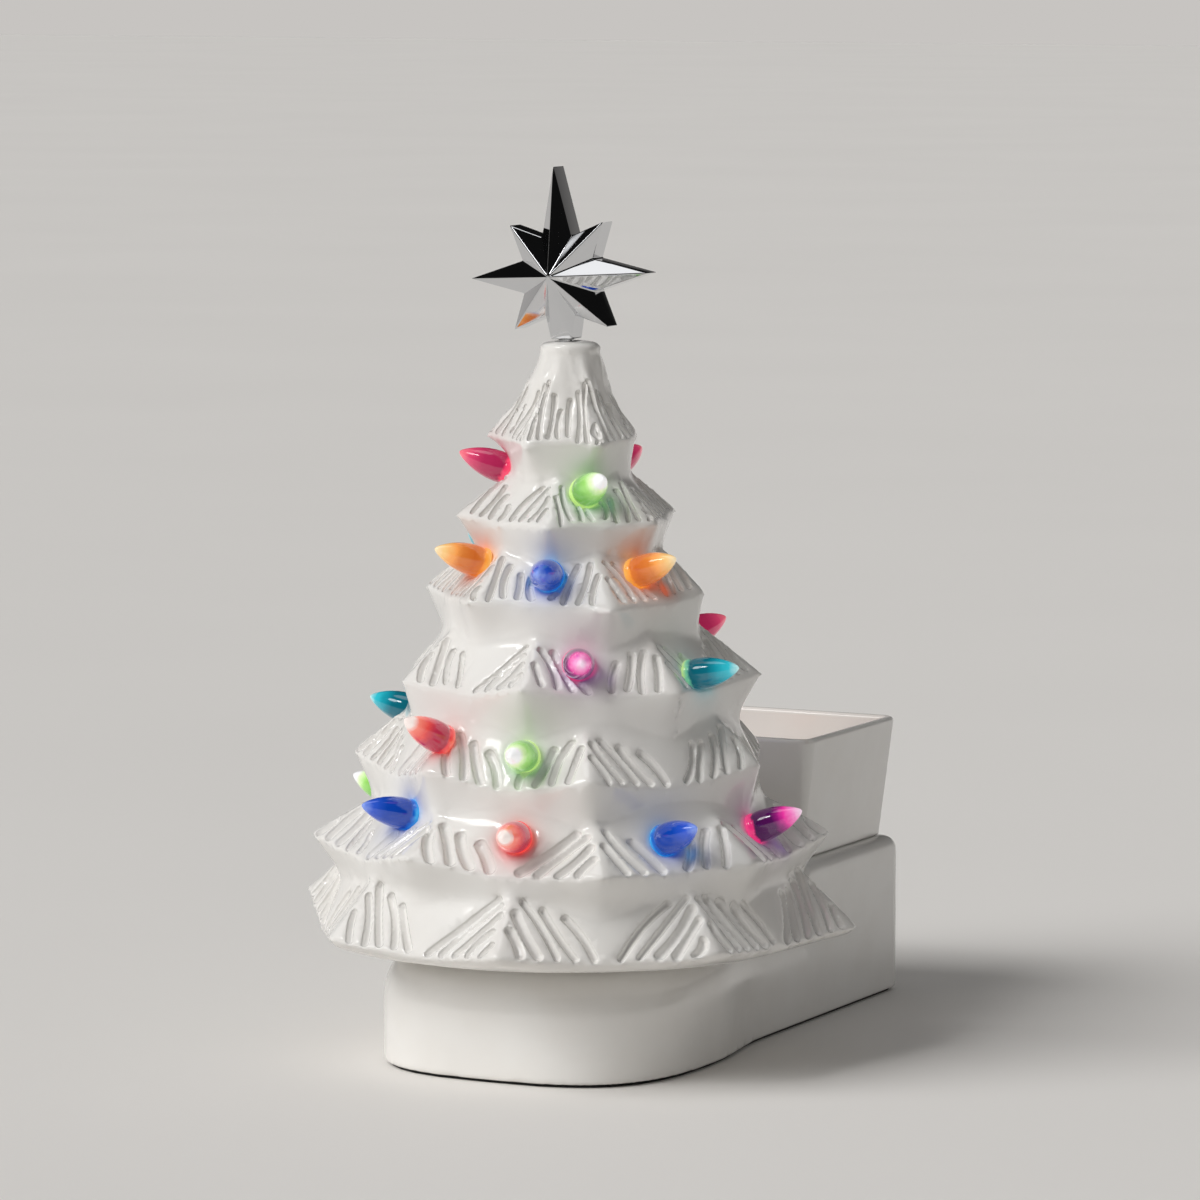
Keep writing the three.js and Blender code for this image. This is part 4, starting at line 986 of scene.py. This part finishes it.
def bulb_glass(name, colours):
    """Clear moulded acrylic lit from inside: bright at its foot and tip, deep between them, with faint
    swirls from the mould and a wet gloss"""
    material, tree, shader, place = new_material(name, {
        "Roughness": 0.08, "IOR": 1.49, "Coat Weight": 1.0, "Coat Roughness": 0.03})
    along = add(tree, "ShaderNodeAttribute", attribute_name="along", attribute_type="GEOMETRY")
    swirl = noise(tree, place, 3.5 * MM, detail=3.0, distortion=1.0)
    shift = add(tree, "ShaderNodeMath", {1: 0.5}, {0: swirl}, operation="SUBTRACT")
    wander = add(tree, "ShaderNodeMath", {1: SWIRL_REACH}, {0: shift.outputs[0], 2: along.outputs["Fac"]},
                 operation="MULTIPLY_ADD")
    stops = [(where, linear(colour)) for where, colour in colours]
    ramp = add(tree, "ShaderNodeValToRGB", links={"Fac": wander.outputs[0]}, stops=stops)
    colour = ramp.outputs["Color"]
    body = add(tree, "ShaderNodeMix", {0: 0.5, 7: (0, 0, 0, 1)}, {6: colour}, data_type="RGBA")
    tree.links.new(body.outputs[2], shader.inputs["Base Color"])
    tree.links.new(colour, shader.inputs["Emission Color"])
    shader.inputs["Emission Strength"].default_value = GLASS_GLOW
    mottle(tree, shader, swirl, "Roughness", grey(0.05), grey(0.12))
    relief(tree, shader, [(noise(tree, place, 4 * MM, detail=2.0), 0.1 * MM)])
    return material


def plated(name, colour, low, high, size, height):
    """Metal whose polish is broken by fine wipe marks"""
    material, tree, shader, place = new_material(name, {"Metallic": 1.0, "Base Color": linear(colour)})
    mottle(tree, shader, noise(tree, place, size, detail=4.0), "Roughness", grey(low), grey(high))
    relief(tree, shader, [(noise(tree, place, 3 * size, detail=1.0), height)])
    return material


def moulded(name, light, dark, low, high, grain, height, **values):
    """Moulded plastic or rubber: an even colour with a fine spark-eroded grain"""
    shader_values = {key.replace("_", " "): value for key, value in values.items()}
    material, tree, shader, place = new_material(name, shader_values)
    mottle(tree, shader, noise(tree, place, 14 * MM, detail=3.0), "Base Color", linear(dark), linear(light))
    mottle(tree, shader, noise(tree, place, grain * 3, detail=3.0), "Roughness", grey(low), grey(high))
    relief(tree, shader, [(noise(tree, place, grain, detail=2.0), height)])
    return material


GLASS_MATERIALS = {colour: bulb_glass("lit_acrylic_" + colour, stops) for colour, stops in GLASS.items()}
WHITE_GLAZE = glaze("glazed_earthenware", "#eceae6", "#e8e5e0")
# Plated and bare metals: chrome mirrors nearly all it meets, zinc and brass are brighter and duller in
# streaks, and turned aluminium is satin. Their marks of 0.1 mm are drawn 2 mm and more wide, so that they
# show
CHROME = plated("vacuum_plated_chrome", "#d9dadc", 0.02, 0.07, 9 * MM, 0.05 * MM)
ZINC = plated("zinc_plated_steel", "#b4b6b8", 0.28, 0.42, 2 * MM, 0.02 * MM)
BRASS = plated("drawn_brass", "#c9a45c", 0.25, 0.38, 2 * MM, 0.02 * MM)
ALUMINIUM = plated("turned_aluminium", "#bcbec2", 0.3, 0.42, 3 * MM, 0.02 * MM)
# Mouldings: matt black with a fine grain, a rocker polished by fingers, white with a soft sheen, dull foam
# rubber, pressed mica with darker flakes, a smooth lead jacket, and frosted glass with a warm light in it.
# Grains of 0.05 mm are drawn at least ten times as coarse, so that they show
BLACK_PLASTIC = moulded("black_moulded_abs", "#1d1d1f", "#161618", 0.34, 0.46, 0.6 * MM, 0.02 * MM)
ROCKER_PLASTIC = moulded("black_glossy_abs", "#202022", "#18181a", 0.18, 0.3, 0.8 * MM, 0.01 * MM)
WHITE_PLASTIC = moulded("white_moulded_abs", "#e7e5df", "#dedbd4", 0.36, 0.5, 0.8 * MM, 0.03 * MM)
PAD_RUBBER = moulded("black_foam_rubber", "#262626", "#1b1b1b", 0.75, 0.9, 0.7 * MM, 0.08 * MM)
MICA = moulded("pressed_mica", "#a3977f", "#8b8069", 0.4, 0.6, 1.5 * MM, 0.03 * MM)
LEAD_JACKET = moulded("white_pvc_jacket", "#e3e0d8", "#d8d4ca", 0.4, 0.55, 0.5 * MM, 0.01 * MM)
LAMP_GLASS = moulded("frosted_lamp_glass", "#fff4dc", "#ffeec8", 0.3, 0.45, 0.5 * MM, 0.01 * MM,
                     Emission_Color=linear("#ffdca0"), Emission_Strength=0.8)


# Put together

def give(finish, *names):
    """Gives a finish to CAD nodes that are shown as they are"""
    for name in names:
        node = cad[name]
        for slot in node.material_slots or [None]:
            if slot is None:
                node.data.materials.append(finish)
            else:
                slot.material = finish


def build_object():
    places = bulb_places()
    tree = make_tree()
    colour_spill(tree, places)
    dress(tree, WHITE_GLAZE, "tree", "glaze", "tree_shell")
    make_bulbs(places)
    star = softened("star_topper", "star_chrome", 0.35 * MM, angle=12)
    dress(star, CHROME, "star", "chrome", "star_topper")
    base = make_base()
    colour_spill(base, [])
    dress(base, WHITE_GLAZE, "base", "glaze", "base_shell")
    dish = make_dish()
    warm_inside(dish)
    dress(dish, WHITE_GLAZE, "dish", "glaze", "wax_dish")
    body = softened("switch_body", "switch_frame", 0.5 * MM)
    dress(body, BLACK_PLASTIC, "base", "black_plastic", "switch_body")
    rocker = softened("switch_rocker", "switch_paddle", 0.4 * MM)
    dress(rocker, ROCKER_PLASTIC, "rocker", "black_plastic", "switch_rocker")
    give(BLACK_PLASTIC, "cord_bush", "bush_nut")
    give(WHITE_PLASTIC, "bottom_cover", "lamp_holder", "insulator_disc", "terminal_block")
    give(LEAD_JACKET, "lamp_lead", "heater_lead", "switch_lead")
    give(PAD_RUBBER, "foot_pad")
    give(ZINC, "heater_cup", "holder_clip", "thermal_fuse")
    give(ZINC, *[n for n in cad if "_screw_" in n])
    give(BRASS, "lamp_cap")
    give(LAMP_GLASS, "lamp_glass")
    give(ALUMINIUM, "warming_plate")
    give(MICA, "heater_disc")
    for name in ("cord_bush", "foot_pad", "lamp_holder", "lamp_glass", "lamp_cap", "warming_plate"):
        pick(cad[name])
        bpy.ops.object.shade_smooth_by_angle(angle=math.radians(35))


# The room

def sun_from(name, azimuth, height, spread, strength, mirrored=True):
    deselect()
    bpy.ops.object.light_add(type="SUN", location=direction(azimuth, height) * 2)
    lamp = bpy.context.object
    lamp.name = name
    lamp.data.angle = math.radians(spread)
    lamp.data.energy = strength
    lamp.visible_glossy = mirrored
    lamp.rotation_euler = direction(azimuth, height).to_track_quat("Z", "Y").to_euler()


def make_floor():
    """A pale dull floor, faintly clouded, that takes soft shadows"""
    deselect()
    bpy.ops.mesh.primitive_plane_add(size=30, location=(0, 0, 0))
    floor = bpy.context.object
    floor.name = "floor"
    material, tree, shader, place = new_material("pale_floor", {"Roughness": 0.7, "Specular IOR Level": 0.1})
    mottle(tree, shader, noise(tree, place, 400 * MM), "Base Color", linear("#e6e3df"), linear("#e8e5e1"))
    floor.data.materials.append(material)


def make_world():
    """Even light all round. What the camera sees is a pale backdrop, and what mirrors and glaze see is that
    backdrop low behind the object, where it fades out 2 to 15 degrees over the horizon and 53 to 78 degrees
    to the sides, and a dark room with a softbox overhead and a window on the key's side"""
    world = bpy.data.worlds.new("studio")
    bpy.context.scene.world = world
    world.use_nodes = True
    tree = world.node_tree
    tree.nodes.clear()
    ray = add(tree, "ShaderNodeLightPath").outputs
    aim = add(tree, "ShaderNodeTexCoord").outputs["Generated"]

    def facing(way, low, high):
        """How nearly a ray runs one way: 0 at the low cosine and 1 at the high one"""
        cosine = add(tree, "ShaderNodeVectorMath", {1: way}, {0: aim}, operation="DOT_PRODUCT")
        return add(tree, "ShaderNodeMapRange", {"From Min": low, "From Max": high},
                   {"Value": cosine.outputs["Value"]}, clamp=True).outputs["Result"]

    def lit_round(azimuth, height, spread):
        """A round light whose edge is soft over two degrees"""
        edges = [math.cos(math.radians(spread + edge)) for edge in (1, -1)]
        return facing(direction(azimuth, height), *edges)

    low = facing((0, 0, -1), *BACKDROP_FADE)
    behind = facing(-direction(CAMERA_AZIMUTH, 0), *BACKDROP_SIDES)
    softbox = lit_round(SOFTBOX_AZIMUTH, SOFTBOX_HEIGHT, SOFTBOX_SPREAD)
    window = lit_round(WINDOW_AZIMUTH, WINDOW_HEIGHT, WINDOW_SPREAD)
    shown_low = add(tree, "ShaderNodeMath", links={0: low, 1: behind}, operation="MULTIPLY").outputs[0]
    pale = linear(BACKDROP)
    dark = add(tree, "ShaderNodeMix", {6: linear(DARK_ROOM), 7: pale}, {0: shown_low}, data_type="RGBA")
    soft = add(tree, "ShaderNodeMix", {7: grey(SOFTBOX_STRENGTH)}, {0: softbox, 6: dark.outputs[2]},
               data_type="RGBA")
    studio = add(tree, "ShaderNodeMix", {7: grey(WINDOW_STRENGTH)}, {0: window, 6: soft.outputs[2]},
                 data_type="RGBA").outputs[2]
    seen = add(tree, "ShaderNodeMath", links={0: ray["Is Camera Ray"], 1: ray["Is Transmission Ray"]},
               operation="MAXIMUM").outputs[0]
    ambient = add(tree, "ShaderNodeBackground", {"Color": (1, 1, 1, 1), "Strength": AMBIENT}).outputs[0]
    mirrored = add(tree, "ShaderNodeBackground", {"Strength": 1.0}, {"Color": studio}).outputs[0]
    backdrop = add(tree, "ShaderNodeBackground", {"Color": pale, "Strength": 1.0}).outputs[0]
    either = add(tree, "ShaderNodeMixShader", links={0: ray["Is Glossy Ray"], 1: ambient, 2: mirrored})
    light = add(tree, "ShaderNodeMixShader", links={0: seen, 1: either.outputs[0], 2: backdrop})
    add(tree, "ShaderNodeOutputWorld", links={"Surface": light.outputs[0]})


def make_camera():
    place = direction(CAMERA_AZIMUTH, 0) * CAMERA_DISTANCE
    place.z = CAMERA_HEIGHT
    deselect()
    bpy.ops.object.camera_add(
        location=place,
        rotation=(math.radians(90 - CAMERA_DIP), 0, math.radians(CAMERA_AZIMUTH - CAMERA_TURN)))
    camera = bpy.context.object
    camera.data.sensor_width = CAMERA_SENSOR
    camera.data.lens = CAMERA_LENS
    camera.data.clip_end = CAMERA_REACH
    bpy.context.scene.camera = camera


def build_room():
    make_floor()
    make_world()
    sun_from("key", KEY_AZIMUTH, KEY_HEIGHT, KEY_SPREAD, KEY_STRENGTH, mirrored=False)
    sun_from("lamp", LAMP_AZIMUTH, LAMP_HEIGHT, LAMP_SPREAD, LAMP_STRENGTH)
    make_camera()
    bpy.context.scene.view_settings.view_transform = "Standard"


build_object()
build_room()
